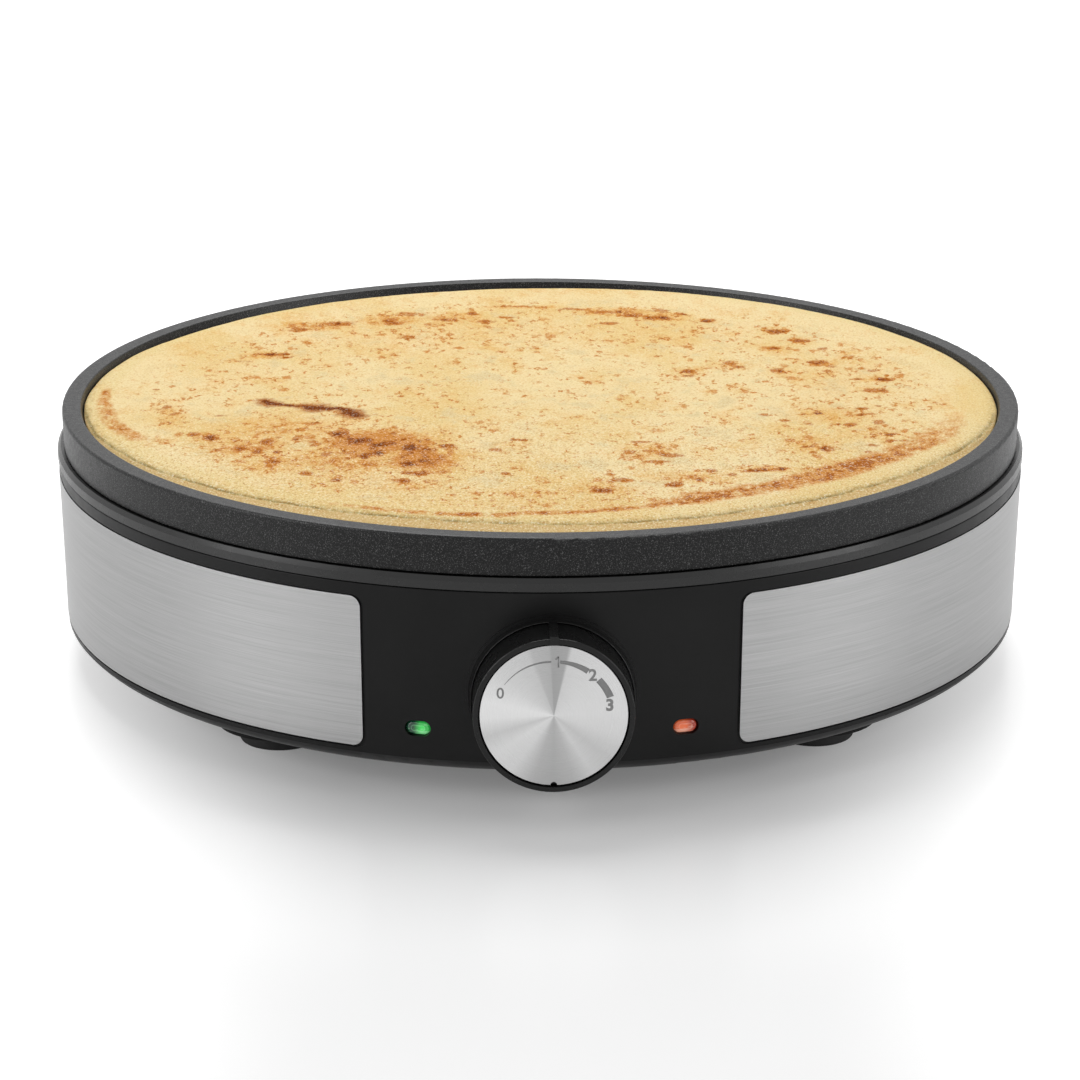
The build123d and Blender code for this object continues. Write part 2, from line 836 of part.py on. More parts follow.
def make_base_pan():
    edge_top = wall_radius(housing_z)
    lip_outer = edge_top - housing_wall - base_lip_clearance
    lip_inner = lip_outer - base_lip_wall
    run = Vector(edge_top - base_underside_radius, base_edge_height)
    middle = Vector(base_underside_radius, base_z) + run * 0.5
    middle += Vector(run.Y, -run.X).normalized() * base_edge_bulge
    edge = ThreePointArc((base_underside_radius, base_z), (middle.X, middle.Y), (edge_top, housing_z))
    rest = Polyline(
        (edge_top, housing_z),
        (lip_outer, housing_z),
        (lip_outer, lip_top),
        (lip_inner, lip_top),
        (lip_inner, base_floor_top),
        (0, base_floor_top),
        (0, base_z),
        (base_underside_radius, base_z),
    )
    pan = revolve(Plane.XZ * make_face([edge, rest]), Axis.Z)
    for x, y in foot_points().values():
        pan += post(foot_seat_radius, base_z - foot_seat_height, base_z, x, y)
        pan += post(foot_boss_radius, base_z - foot_boss_height, base_z, x, y)
    for angle in snap_nub_angles:
        nub = Pos(0, 0, base_underside_radius - snap_nub_width) * Box(
            snap_nub_width, 2 * snap_nub_height, snap_nub_width
        )
        pan += outward_plane(angle, base_z) * nub
    for x, y in foot_points().values():
        recess_low = base_z - foot_boss_height
        stem_hole = foot_stem_radius + foot_stem_clearance
        pan -= post(stem_hole, recess_low, recess_low + foot_stem_length + foot_stem_clearance, x, y)
    well_radius = base_screw_radius * head_radius_ratio + base_screw_head_clearance
    for angle in base_screw_angles:
        x, y = plan_point(base_screw_circle, angle)
        pan += post(well_radius + base_screw_well_wall, base_z, base_post_z, x, y)
        pan -= post(well_radius, base_z, base_screw_z, x, y)
        pan -= post(base_screw_radius + screw_clearance, base_screw_z, base_post_z, x, y)
    slots = []
    for count, circle in enumerate(vent_circles):
        for step in range(vent_count):
            angle = 360 * (step + count / 2) / vent_count
            slot = Pos(0, 0, circle) * Box(vent_width, 2 * base_floor, vent_length)
            slots.append(outward_plane(angle, base_z + base_floor / 2) * slot)
    return pan - slots


def make_foot_pad(x, y):
    top = base_z - foot_boss_height
    pad = post(foot_pad_radius, 0, top, x, y)
    bottom = pad.edges().group_by(Axis.Z)[0]
    pad = fillet(bottom, foot_pad_rounding)
    return pad + post(foot_stem_radius, top, top + foot_stem_length, x, y)


def make_base_screws():
    tip = base_screw_z + 2 * thread_depth
    points = [plan_point(base_screw_circle, angle) for angle in base_screw_angles]
    return Compound([screw(base_screw_radius, base_screw_z, tip, x, y) for x, y in points])


# ---- knob, dial face and their carrier

knob_front_y = collar_wall_y - knob_front_stand_off
knob_back_y = collar_floor_y - knob_back_clearance
knob_web_front_y = knob_front_y + knob_web_inset
knob_web_back_y = knob_web_front_y + knob_web
dial_front_y = knob_front_y + dial_sink
carrier_front_y = dial_front_y + dial_sheet
carrier_back_y = carrier_front_y + dial_carrier_thickness
hub_front_y = carrier_back_y + knob_hub_front_clearance
shaft_front_y = hub_front_y + knob_hub_front_clearance


def knob_slot(angle):
    """Curved slot in the knob's web, in which a dial leg stays while the knob turns."""
    half_width = dial_leg_radius + dial_leg_clearance
    ease = math.degrees(dial_leg_clearance / dial_leg_circle)
    start = angle - knob_turn_high - ease
    stop = angle + knob_turn_low + ease
    depth = knob_web_back_y - knob_web_front_y
    centre_y = (knob_web_back_y + knob_web_front_y) / 2
    section = Pos(0, centre_y, knob_height + dial_leg_circle) * Box(
        2 * half_width, depth, 2 * half_width
    ).faces().sort_by(Axis.X)[-1]
    section = Pos(-half_width, 0, 0) * section
    knob_axis = Axis((0, 0, knob_height), (0, 1, 0))
    slot = revolve(section, knob_axis, stop - start).rotate(knob_axis, start)
    for end in (start, stop):
        turn = math.radians(end)
        x = dial_leg_circle * math.sin(turn)
        z = knob_height + dial_leg_circle * math.cos(turn)
        slot += rod(half_width, knob_web_front_y, knob_web_back_y, x, z)
    return slot


def make_control_knob():
    inner = knob_radius - knob_wall
    knob = rod(knob_radius, knob_front_y, knob_back_y)
    rims = [edge for edge in knob.edges() if abs(edge.center().Y - knob_front_y) < 0.01]
    knob = fillet(rims, knob_edge_rounding)
    knob -= rod(inner, knob_front_y, knob_web_front_y)
    knob -= rod(inner, knob_web_back_y, knob_back_y)
    knob += rod(knob_hub_radius, hub_front_y, knob_back_y)
    pointer_back = collar_front_y - knob_back_clearance
    pointer = block(
        (-pointer_width / 2, pointer_width / 2),
        (knob_front_y - pointer_stand_off, pointer_back),
        (knob_height + inner, knob_height + knob_radius + pointer_height),
    )
    knob += pointer
    for angle in (90, 270):
        knob -= knob_slot(angle)
    knob -= rod(shaft_radius + thread_clearance, shaft_front_y, knob_back_y)
    flat_back = shaft_front_y + shaft_flat_length - shaft_end_play
    return knob + shaft_flat(thread_clearance, shaft_front_y, flat_back)


def shaft_flat(clearance, front, back):
    """The segment between the shaft's flat and its round, less a clearance."""
    reach = shaft_radius + thread_clearance + knob_wall
    segment = rod(shaft_radius + thread_clearance + clearance, front, back)
    low = knob_height + shaft_radius - shaft_flat_depth + clearance
    return segment & block((-reach, reach), (front, back), (low, knob_height + reach))


def make_dial_carrier():
    carrier = rod(dial_radius - dial_carrier_inset, carrier_front_y, carrier_back_y)
    for side in (-1, 1):
        x = side * dial_leg_circle
        carrier += rod(dial_leg_radius, carrier_back_y, collar_floor_y, x=x)
        pilot = dial_screw_radius + thread_clearance
        carrier -= rod(pilot, collar_floor_y - thread_depth, collar_floor_y, x=x)
    return carrier


def make_dial_face():
    face = rod(dial_radius, dial_front_y, carrier_front_y)
    return face - rod(dial_notch_radius, dial_front_y, carrier_front_y, z=knob_height - dial_radius)


def make_dial_screws():
    screws = []
    for side in (-1, 1):
        x = side * dial_leg_circle
        head = rod(
            dial_screw_radius * head_radius_ratio,
            collar_back_y,
            collar_back_y + dial_screw_radius * head_height_ratio,
            x=x,
        )
        tip = collar_back_y - dial_screw_length
        screws.append(head + rod(dial_screw_radius, tip, collar_back_y, x=x))
    return Compound(screws)


# ---- thermostat

bracket_front_y = collar_wall_y + bracket_setback
bracket_back_y = bracket_front_y + bracket_sheet
bracket_top = plate_under - bracket_boss_depth
stack_z = knob_height + stack_rise
bush_flange_y = bracket_back_y + bush_flange
shaft_collar_y = bush_flange_y + shaft_end_play
shaft_back_y = shaft_collar_y + shaft_collar_length
arm_front_y = bracket_back_y + stack_insulator_lengths[0]
arm_back_y = arm_front_y + arm_sheet
fixed_front_y = arm_back_y + stack_insulator_lengths[1]
fixed_back_y = fixed_front_y + fixed_leaf_sheet
bimetal_front_y = fixed_back_y + stack_insulator_lengths[2]
bimetal_back_y = bimetal_front_y + bimetal_sheet
arm_hinge_z = stack_z - arm_root_drop
leaf_low = knob_height - leaf_drop
contact_z = knob_height - contact_drop
pusher_front_y = shaft_back_y - pusher_socket_depth + pusher_socket_play
pusher_back_y = arm_front_y - pusher_arm_play


def bracket_screw_points():
    """The two screws that hold the thermostat bracket under the plate."""
    y = bracket_front_y + bracket_screw_setback
    return [(side * bracket_screw_spread, y) for side in (-1, 1)]


def make_thermostat_bracket():
    half = bracket_half_width
    bottom = knob_height - bracket_bottom_margin
    bracket = block((-half, half), (bracket_front_y, bracket_back_y), (bottom, bracket_top))
    tab_back = bracket_front_y + bracket_tab_length
    tab_half = bracket_tab_half_width
    tab_low = bracket_top - bracket_sheet
    bracket += block((-tab_half, tab_half), (bracket_front_y, tab_back), (tab_low, bracket_top))
    bracket -= rod(bush_radius + bush_clearance, bracket_front_y, bracket_back_y)
    bracket -= rod(stack_rivet_radius + stack_clearance, bracket_front_y, bracket_back_y, z=stack_z)
    for x, y in bracket_screw_points():
        hole = bracket_screw_radius + screw_clearance
        bracket -= post(hole, bracket_top - bracket_sheet, bracket_top, x, y)
    return bracket


def make_bracket_screws():
    head_z = bracket_top - bracket_sheet
    tip = head_z + thread_depth - thread_clearance
    return Compound([screw(bracket_screw_radius, head_z, tip, x, y) for x, y in bracket_screw_points()])


def make_thermostat_bush():
    front = bracket_front_y - bush_front_length
    bush = rod(bush_radius, front, bush_flange_y)
    bush += rod(bush_flange_radius, bracket_back_y, bush_flange_y)
    return bush - rod(shaft_radius + shaft_running_clearance, front, bush_flange_y)


def hex_nut(flats, bore, front, back, z):
    """Hexagon nut along Y between two Y values."""
    plane = Plane(origin=(0, back, z), x_dir=(1, 0, 0), z_dir=(0, -1, 0))
    nut = extrude(plane * RegularPolygon(flats / 2, 6, major_radius=False), amount=back - front)
    return nut - rod(bore, front, back, z=z)


def make_thermostat_nut():
    front = bracket_front_y - bush_nut_thickness
    return hex_nut(bush_nut_flats, bush_radius + thread_clearance, front, bracket_front_y, knob_height)


def make_thermostat_shaft():
    shaft = rod(shaft_radius, shaft_front_y, shaft_back_y)
    shaft += rod(shaft_collar_radius, shaft_collar_y, shaft_back_y)
    shaft -= shaft_flat(0.0, shaft_front_y, shaft_front_y + shaft_flat_length)
    socket = pusher_radius + pusher_clearance
    return shaft - rod(socket, shaft_back_y - pusher_socket_depth, shaft_back_y)


def make_thermostat_pusher():
    return rod(pusher_radius, pusher_front_y, pusher_back_y)


def make_stack_insulators():
    spans = ((bracket_back_y, arm_front_y), (arm_back_y, fixed_front_y), (fixed_back_y, bimetal_front_y))
    washers = []
    for front, back in spans:
        washer = rod(stack_insulator_radius, front, back, z=stack_z)
        washers.append(washer - rod(stack_rivet_radius + stack_clearance, front, back, z=stack_z))
    return Compound(washers)


def make_stack_rivet():
    head = stack_rivet_head
    rivet = rod(stack_rivet_radius, bracket_front_y, bimetal_back_y, z=stack_z)
    rivet += rod(stack_rivet_head_radius, bracket_front_y - head, bracket_front_y, z=stack_z)
    return rivet + rod(stack_rivet_head_radius, bimetal_back_y, bimetal_back_y + head, z=stack_z)


def make_leaf(front, back, low, half_width, blade_side):
    """Flat leaf hanging from the stack, with a terminal blade to one side if blade_side isn't 0."""
    leaf = block((-half_width, half_width), (front, back), (low, stack_z + stack_insulator_radius))
    if blade_side:
        span = sorted((0, blade_side * blade_reach))
        leaf += block(span, (front, back), (stack_z - blade_half_width, stack_z + blade_half_width))
    return leaf - rod(stack_rivet_radius + stack_clearance, front, back, z=stack_z)


def make_arm_terminal():
    return make_leaf(arm_front_y, arm_back_y, arm_hinge_z, leaf_half_width, 1)


def make_contact_arm():
    half = leaf_half_width
    arm = block((-half, half), (arm_front_y, arm_back_y), (leaf_low, arm_hinge_z - arm_hinge_gap))
    return arm + rod(contact_radius, arm_back_y, arm_back_y + arm_contact_height, z=contact_z)


def make_fixed_contact():
    leaf = make_leaf(fixed_front_y, fixed_back_y, leaf_low, leaf_half_width, -1)
    contact_front = arm_back_y + arm_contact_height + contact_gap
    return leaf + rod(contact_radius, contact_front, fixed_front_y, z=contact_z)


def make_bimetal_strip():
    return make_leaf(bimetal_front_y, bimetal_back_y, leaf_low, bimetal_half_width, 0)


def make_terminal_sleeves():
    sleeves = []
    for side, front, back in ((1, arm_front_y, arm_back_y), (-1, fixed_front_y, fixed_back_y)):
        centre_y = (front + back) / 2
        x_span = sorted((side * sleeve_start, side * sleeve_end))
        y_span = (centre_y - sleeve_half_depth, centre_y + sleeve_half_depth)
        sleeve = block(x_span, y_span, (stack_z - sleeve_half_height, stack_z + sleeve_half_height))
        slot = block(
            sorted((side * sleeve_start, side * (blade_reach + stack_clearance))),
            (front - stack_clearance, back + stack_clearance),
            (stack_z - blade_half_width - stack_clearance, stack_z + blade_half_width + stack_clearance),
        )
        sleeves.append(sleeve - slot)
    return Compound(sleeves)


# ---- indicator lamps


def make_lamp_lens(angle):
    lens = lamp_window(
        angle, lens_length, lens_width, lamp_pad_radius, lamp_wall_radius - lens_sink, lens_rounding
    )
    return lens + lamp_window(
        angle, lens_flange_length, lens_flange_width, lamp_pad_radius - lens_flange, lamp_pad_radius
    )


def make_lamp_bulb(angle):
    tip = lamp_pad_radius - lens_flange - lamp_bulb_lens_gap
    bulb = Pos(0, 0, tip - lamp_bulb_length / 2) * Cylinder(lamp_bulb_radius, lamp_bulb_length)
    bulb = fillet(bulb.edges().group_by(Axis.Z)[-1], lamp_bulb_radius * 0.8)
    return outward_plane(angle, lamp_height) * bulb


def make_lamp_holders():
    holders = []
    top = lamp_pad_radius - lens_flange
    for angle in (-lamp_angle, lamp_angle):
        holder = Pos(0, 0, top - lamp_holder_depth / 2) * Box(
            2 * lamp_holder_half_width, 2 * lamp_holder_half_height, lamp_holder_depth
        )
        bore = lamp_bulb_radius + lamp_holder_clearance
        holder -= Pos(0, 0, top - lamp_holder_depth / 2) * Cylinder(bore, lamp_holder_depth)
        holders.append(outward_plane(angle, lamp_height) * holder)
    return Compound(holders)


# ---- cord gland and terminal block


def make_cord_gland():
    gland = rod(gland_body_radius, gland_seat_y - gland_body_length, gland_seat_y, z=gland_height)
    flange_back = gland_seat_y + gland_flange
    gland += rod(gland_flange_radius, gland_seat_y, flange_back, z=gland_height)
    gland += Solid.make_cone(
        gland_nose_root_radius,
        gland_nose_tip_radius,
        gland_nose_length,
        Plane(origin=(0, flange_back, gland_height), z_dir=(0, 1, 0)),
    )
    bore_back = flange_back + gland_nose_length
    return gland - rod(gland_bore_radius, gland_seat_y - gland_body_length, bore_back, z=gland_height)


def make_gland_nut():
    front = gland_inner_y - gland_nut_thickness
    bore = gland_body_radius + thread_clearance
    return hex_nut(gland_nut_flats, bore, front, gland_inner_y, gland_height)


block_back = gland_inner_y - block_gland_gap
block_front = block_back - block_depth
block_top = base_floor_top + block_height


def pole_xs():
    """X of the terminal block's three poles."""
    return [count * block_pole_spacing for count in (-1, 0, 1)]


def make_terminal_block():
    half = block_length / 2
    body = block((-half, half), (block_front, block_back), (base_floor_top, block_top))
    middle = (block_front + block_back) / 2
    screw_low = block_top - block_screw_depth
    for x in pole_xs():
        body -= post(block_screw_radius + screw_clearance, screw_low, block_top, x, middle)
        entry_z = base_floor_top + block_height / 2
        body -= rod(block_entry_radius, block_back - block_entry_depth, block_back, x=x, z=entry_z)
    return body


def make_terminal_screws():
    middle = (block_front + block_back) / 2
    low = block_top - block_screw_depth
    slot_depth = block_screw_radius / 2
    screws = []
    for x in pole_xs():
        pillar = post(block_screw_radius, low, block_top, x, middle)
        half = slot_depth / 4
        y_span = (middle - block_screw_radius, middle + block_screw_radius)
        screws.append(pillar - block((x - half, x + half), y_span, (block_top - slot_depth, block_top)))
    return Compound(screws)


# ---- wiring inside the body

fuse_z = reflector_floor_z - reflector_sheet - fuse_clip_floor - fuse_radius
wire_level = base_floor_top + block_height / 2


def make_thermal_fuse():
    x, y = fuse_centre
    half = fuse_length / 2
    fuse = rod(fuse_radius, y - half, y + half, x=x, z=fuse_z)
    reach = half + fuse_lead_length
    return fuse + rod(fuse_lead_radius, y - reach, y + reach, x=x, z=fuse_z)


def make_fuse_clip():
    x, y = fuse_centre
    top = reflector_floor_z - reflector_sheet
    low = fuse_z - fuse_radius / 2
    half = fuse_clip_length / 2
    clip = block((x - fuse_clip_width / 2, x + fuse_clip_width / 2), (y - half, y + half), (low, top))
    return clip - rod(fuse_radius + thread_clearance, y - half, y + half, x=x, z=fuse_z)


def make_fuse_wire():
    """From the thermostat's fixed contact to the front of the fuse."""
    x, y = fuse_centre
    centre_y = (fixed_front_y + fixed_back_y) / 2
    end_y = y - fuse_length / 2 - fuse_lead_length
    return wire(
        [
            (-sleeve_end, centre_y, stack_z),
            (-sleeve_end - wire_stub, centre_y, stack_z),
            (x, centre_y + fuse_wire_reach, fuse_z),
            (x, end_y, fuse_z),
        ],
        fuse_wire_bends,
        wire_radius,
    )


def make_supply_wire():
    """From the back of the fuse to the terminal block."""
    x, y = fuse_centre
    pole = pole_xs()[0]
    start_y = y + fuse_length / 2 + fuse_lead_length
    return wire(
        [
            (x, start_y, fuse_z),
            (x, start_y + supply_wire_stubs[0], fuse_z),
            (pole, block_front - supply_wire_stubs[1], wire_level),
            (pole, block_front, wire_level),
        ],
        supply_wire_bends,
        wire_radius,
    )


def make_neutral_wire():
    """From the terminal block to the left leg of the element."""
    pole = pole_xs()[1]
    x, y = element_leg_point(-1)
    low = element_pin_z - pin_connector_length / 2
    return wire(
        [
            (pole, block_front, wire_level),
            (pole, block_front - neutral_wire_stubs[0], wire_level),
            (x, y + neutral_wire_stubs[1], wire_level + neutral_wire_rises[0]),
            (x, y, wire_level + neutral_wire_rises[1]),
            (x, y, low),
        ],
        neutral_wire_bends,
        wire_radius,
    )


def make_earth_wire():
    """From the terminal block to the tag under the reflector."""
    pole = pole_xs()[2]
    x, y = earth_point
    z = reflector_floor_z - reflector_sheet - wire_radius
    return wire(
        [
            (pole, block_front, wire_level),
            (pole, block_front - earth_wire_stubs[0], wire_level),
            (x, y + earth_tag_neck + earth_wire_stubs[1], z),
            (x, y + earth_tag_neck, z),
        ],
        earth_wire_bends,
        wire_radius,
    )


def make_element_wire():
    """From the thermostat's arm terminal to the right leg of the element."""
    x, y = element_leg_point(1)
    centre_y = (arm_front_y + arm_back_y) / 2
    low = element_pin_z - pin_connector_length / 2
    return wire(
        [
            (sleeve_end, centre_y, stack_z),
            (sleeve_end + wire_stub, centre_y, stack_z),
            (x - element_wire_offset[0], y - element_wire_offset[1], low - element_wire_drops[0]),
            (x, y, low - element_wire_drops[1]),
            (x, y, low),
        ],
        element_wire_bends,
        wire_radius,
    )


def lamp_back_point(angle):
    """Where a lamp's twin lead leaves its bulb, and the direction straight back from it."""
    back = lamp_pad_radius - lens_flange - lamp_bulb_lens_gap - lamp_bulb_length
    return plan_point(back, angle), plan_point(back - lamp_lead_stub, angle)


def make_power_lamp_lead():
    """From the mains lamp round the left of the body to the terminal block."""
    start, straight = lamp_back_point(-lamp_angle)
    end_x = pole_xs()[0] - power_lead_pole_offset
    lead_z = base_floor_top + power_lead_level
    return wire(
        [
            (*start, lamp_height),
            (*straight, lamp_height),
            (*power_lead_corners[0], lead_z + power_lead_rise),
            (*power_lead_corners[1], lead_z),
            (end_x, block_front - power_lead_stub, lead_z),
            (end_x, block_front, lead_z),
        ],
        power_lead_bends,
        lamp_lead_radius,
    )


def make_heat_lamp_lead():
    """From the heating lamp to the right leg's connector."""
    start, straight = lamp_back_point(lamp_angle)
    x, y = element_leg_point(1)
    out, forward, down = heat_lead_corner
    return wire(
        [
            (*start, lamp_height),
            (*straight, lamp_height),
            (x + out, y - forward, element_pin_z - down),
            (x + heat_lead_stub, y, element_pin_z),
            (x + pin_connector_radius, y, element_pin_z),
        ],
        heat_lead_bends,
        lamp_lead_radius,
    )


def make_earth_tag():
    x, y = earth_point
    top = reflector_floor_z - reflector_sheet
    tag = post(earth_tag_radius, top - earth_tag_sheet, top, x, y)
    half = wire_radius
    tag += block((x - half, x + half), (y, y + earth_tag_neck), (top - earth_tag_sheet, top))
    tag -= post(earth_screw_radius + screw_clearance, top - earth_tag_sheet, top, x, y)
    return tag


def make_earth_screw():
    x, y = earth_point
    head_z = reflector_floor_z - reflector_sheet - earth_tag_sheet
    return screw(earth_screw_radius, head_z, reflector_floor_z + 2 * earth_screw_radius, x, y)


def make_pieces():
    """Every piece of the crepe maker by name."""
    right_panel = make_right_side_panel()
    pieces = {
        "cooking_plate": make_cooking_plate(),
        "crepe": make_crepe(),
        "heating_element": make_heating_element(),
        "element_beads": make_element_beads(),
        "element_pins": make_element_pins(),
        "pin_connectors": make_pin_connectors(),
        "element_clamps": make_element_clamps(),
        "clamp_screws": make_clamp_screws(),
        "reflector_plate": make_reflector_plate(),
        "plate_washers": make_plate_washers(),
        "plate_screws": make_plate_screws(),
        "top_ring": make_top_ring(),
        "ring_screws": make_ring_screws(),
        "housing": make_housing(),
        "right_side_panel": right_panel,
        "left_side_panel": mirror(right_panel, about=Plane.YZ),
        "base_pan": make_base_pan(),
        "base_screws": make_base_screws(),
        "control_knob": make_control_knob(),
        "dial_carrier": make_dial_carrier(),
        "dial_face": make_dial_face(),
        "dial_screws": make_dial_screws(),
        "thermostat_bracket": make_thermostat_bracket(),
        "bracket_screws": make_bracket_screws(),
        "thermostat_bush": make_thermostat_bush(),
        "thermostat_nut": make_thermostat_nut(),
        "thermostat_shaft": make_thermostat_shaft(),
        "thermostat_pusher": make_thermostat_pusher(),
        "stack_insulators": make_stack_insulators(),
        "stack_rivet": make_stack_rivet(),
        "arm_terminal": make_arm_terminal(),
        "contact_arm": make_contact_arm(),
        "fixed_contact": make_fixed_contact(),
        "bimetal_strip": make_bimetal_strip(),
        "terminal_sleeves": make_terminal_sleeves(),
        "power_lamp_lens": make_lamp_lens(-lamp_angle),
        "heat_lamp_lens": make_lamp_lens(lamp_angle),
        "power_lamp_bulb": make_lamp_bulb(-lamp_angle),
        "heat_lamp_bulb": make_lamp_bulb(lamp_angle),
        "lamp_holders": make_lamp_holders(),
        "cord_gland": make_cord_gland(),
        "gland_nut": make_gland_nut(),
        "terminal_block": make_terminal_block(),
        "terminal_screws": make_terminal_screws(),
        "thermal_fuse": make_thermal_fuse(),
        "fuse_clip": make_fuse_clip(),
        "fuse_wire": make_fuse_wire(),
        "supply_wire": make_supply_wire(),
        "neutral_wire": make_neutral_wire(),
        "earth_wire": make_earth_wire(),
        "element_wire": make_element_wire(),
        "power_lamp_lead": make_power_lamp_lead(),
        "heat_lamp_lead": make_heat_lamp_lead(),
        "earth_tag": make_earth_tag(),
        "earth_screw": make_earth_screw(),
    }
    for name, (x, y) in foot_points().items():
        pieces["foot_pad_" + name] = make_foot_pad(x, y)
    return pieces


os.makedirs("parts", exist_ok=True)
for name, shape in make_pieces().items():
    export_step(shape, "parts/" + name + ".step")
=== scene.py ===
import json
import math

import bpy
import numpy as np
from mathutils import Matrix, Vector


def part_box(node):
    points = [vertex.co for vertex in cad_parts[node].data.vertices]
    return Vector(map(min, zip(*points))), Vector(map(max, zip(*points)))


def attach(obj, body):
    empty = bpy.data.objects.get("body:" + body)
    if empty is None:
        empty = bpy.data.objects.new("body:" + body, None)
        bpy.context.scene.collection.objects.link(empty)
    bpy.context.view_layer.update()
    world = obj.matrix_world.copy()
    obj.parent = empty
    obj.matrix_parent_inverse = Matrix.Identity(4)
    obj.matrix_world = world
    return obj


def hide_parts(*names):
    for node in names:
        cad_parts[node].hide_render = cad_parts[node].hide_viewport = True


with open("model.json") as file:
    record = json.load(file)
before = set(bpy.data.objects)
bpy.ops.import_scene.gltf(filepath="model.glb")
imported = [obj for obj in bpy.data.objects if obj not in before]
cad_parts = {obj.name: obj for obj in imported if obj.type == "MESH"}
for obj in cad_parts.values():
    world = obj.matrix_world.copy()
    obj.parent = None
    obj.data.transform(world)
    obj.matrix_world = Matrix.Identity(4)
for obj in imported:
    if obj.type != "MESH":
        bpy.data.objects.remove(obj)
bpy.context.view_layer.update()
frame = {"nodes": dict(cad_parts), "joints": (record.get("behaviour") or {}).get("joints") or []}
cadNodes = frame["nodes"]
scene = bpy.context.scene
scene.view_settings.view_transform = "Standard"
mm = 0.001
print("frame loaded:", len(cadNodes), "nodes")


def placed(name, data):
    # a new object, linked into the scene
    made = bpy.data.objects.new(name, data)
    scene.collection.objects.link(made)
    return made


# camera

cameraView = {
    "lens": 128.59,  # in millimetres, as the sensor is
    "sensor": 36.0,
    "nearest": 0.05,  # in metres, as its reach and its place are
    "furthest": 60.0,
    "place": (-0.0295, -1.2509, 0.4369),
    "pitchDown": 17.876,  # in degrees, as the turn and roll are
    "turn": 1.35,
    "roll": 0.057,
}

cameraData = bpy.data.cameras.new("viewCamera")
cameraData.lens = cameraView["lens"]
cameraData.sensor_width = cameraView["sensor"]
cameraData.clip_start = cameraView["nearest"]
cameraData.clip_end = cameraView["furthest"]
camera = placed("viewCamera", cameraData)
camera.location = cameraView["place"]
camera.rotation_euler = (
    math.radians(90.0 - cameraView["pitchDown"]),
    0.0,
    -math.radians(cameraView["turn"]),
)
camera.rotation_euler.rotate_axis("Z", math.radians(cameraView["roll"]))
scene.camera = camera
print("camera set")

# helpers for colours and shader nodes


def tone(red, green, blue):
    # a screen colour, 0 to 255, turned by the sRGB curve into the linear value that a shader takes
    values = np.array([red, green, blue]) / 255.0
    linear = np.where(values <= 0.04045, values / 12.92, ((values + 0.055) / 1.055) ** 2.4)
    return (*linear.tolist(), 1.0)


def grey(level):
    return tone(level, level, level)


def shades(colour, spread):
    # the colour made darker and lighter by a share of itself
    shares = (1.0 - spread, 1.0 + spread)
    return [(*(min(1.0, channel * share) for channel in colour[:3]), 1.0) for share in shares]


def feed(tree, node, values):
    # each input gets a plain value, or a link where the value is another node's output
    for socket, value in values.items():
        if isinstance(value, bpy.types.NodeSocket):
            tree.links.new(value, node.inputs[socket])
        else:
            node.inputs[socket].default_value = value


def add(tree, kind, values=None, **options):
    # a node with its options set and its inputs fed
    made = tree.nodes.new("ShaderNode" + kind)
    for option, value in options.items():
        setattr(made, option, value)
    feed(tree, made, values or {})
    return made


def surface(name, values):
    # a new material and its Principled shader, with uniform values set on the shader's own sockets
    made = bpy.data.materials.new(name)
    made.use_nodes = True
    tree = made.node_tree
    shader = tree.nodes["Principled BSDF"]
    feed(tree, shader, values)
    return made, tree, shader


def calc(tree, operation, first, second=0.0, clamp=False):
    return add(tree, "Math", {0: first, 1: second}, operation=operation, use_clamp=clamp).outputs[0]


def times(tree, first, second):
    return calc(tree, "MULTIPLY", first, second)


def total(tree, *parts):
    whole = parts[0]
    for part in parts[1:]:
        whole = calc(tree, "ADD", whole, part)
    return whole


def vectorCalc(tree, operation, first, second=(0.0, 0.0, 0.0)):
    return add(tree, "VectorMath", {0: first, 1: second}, operation=operation).outputs[0]


def slant(tree, first, second):
    # root of the two values' squares added up
    return calc(tree, "SQRT", total(tree, times(tree, first, first), times(tree, second, second)))


def objectPoint(tree):
    return add(tree, "TexCoord").outputs["Object"]


def split(tree, vector, axes="XYZ"):
    # the named parts of a vector
    made = add(tree, "SeparateXYZ", {0: vector})
    return [made.outputs[axis] for axis in axes]


def stretched(tree, vector, scale, shift=(0.0, 0.0, 0.0)):
    # the vector times the scale, plus the shift
    return add(tree, "Mapping", {"Vector": vector, "Scale": scale, "Location": shift}).outputs[0]


def noise(tree, vector, scale, detail=2.0, roughness=0.5):
    values = {"Vector": vector, "Scale": scale, "Detail": detail, "Roughness": roughness}
    return add(tree, "TexNoise", values).outputs[0]


def swing(tree, pattern, amount):
    # a noise about its middle, times an amount
    return times(tree, calc(tree, "SUBTRACT", pattern, 0.5), amount)


def between(tree, value, low, high, first=0.0, last=1.0, eased=True):
    # first where the value is at low, last where it is at high, and a smooth change from one to the other
    kind = "SMOOTHSTEP" if eased else "LINEAR"
    values = {0: value, 1: low, 2: high, 3: first, 4: last}
    return add(tree, "MapRange", values, interpolation_type=kind).outputs[0]


def uneven(tree, pattern, middle, spread):
    # a value that swings to both sides of its middle with the pattern
    return between(tree, pattern, 0.25, 0.75, middle - spread, middle + spread)


def mix(tree, amount, first, second, mode="MIX"):
    # the first colour where the amount is 0, the second where it is 1
    values = {0: amount, 6: first, 7: second}
    return add(tree, "Mix", values, data_type="RGBA", blend_type=mode).outputs[2]


def ramp(tree, amount, stops):
    # colours at listed amounts, with even changes between them
    made = add(tree, "ValToRGB", {0: amount})
    colours = made.color_ramp
    while len(colours.elements) < len(stops):
        colours.elements.new(0.5)
    for element, (position, colour) in zip(colours.elements, stops):
        element.position = position
        element.color = colour
    return made.outputs[0]


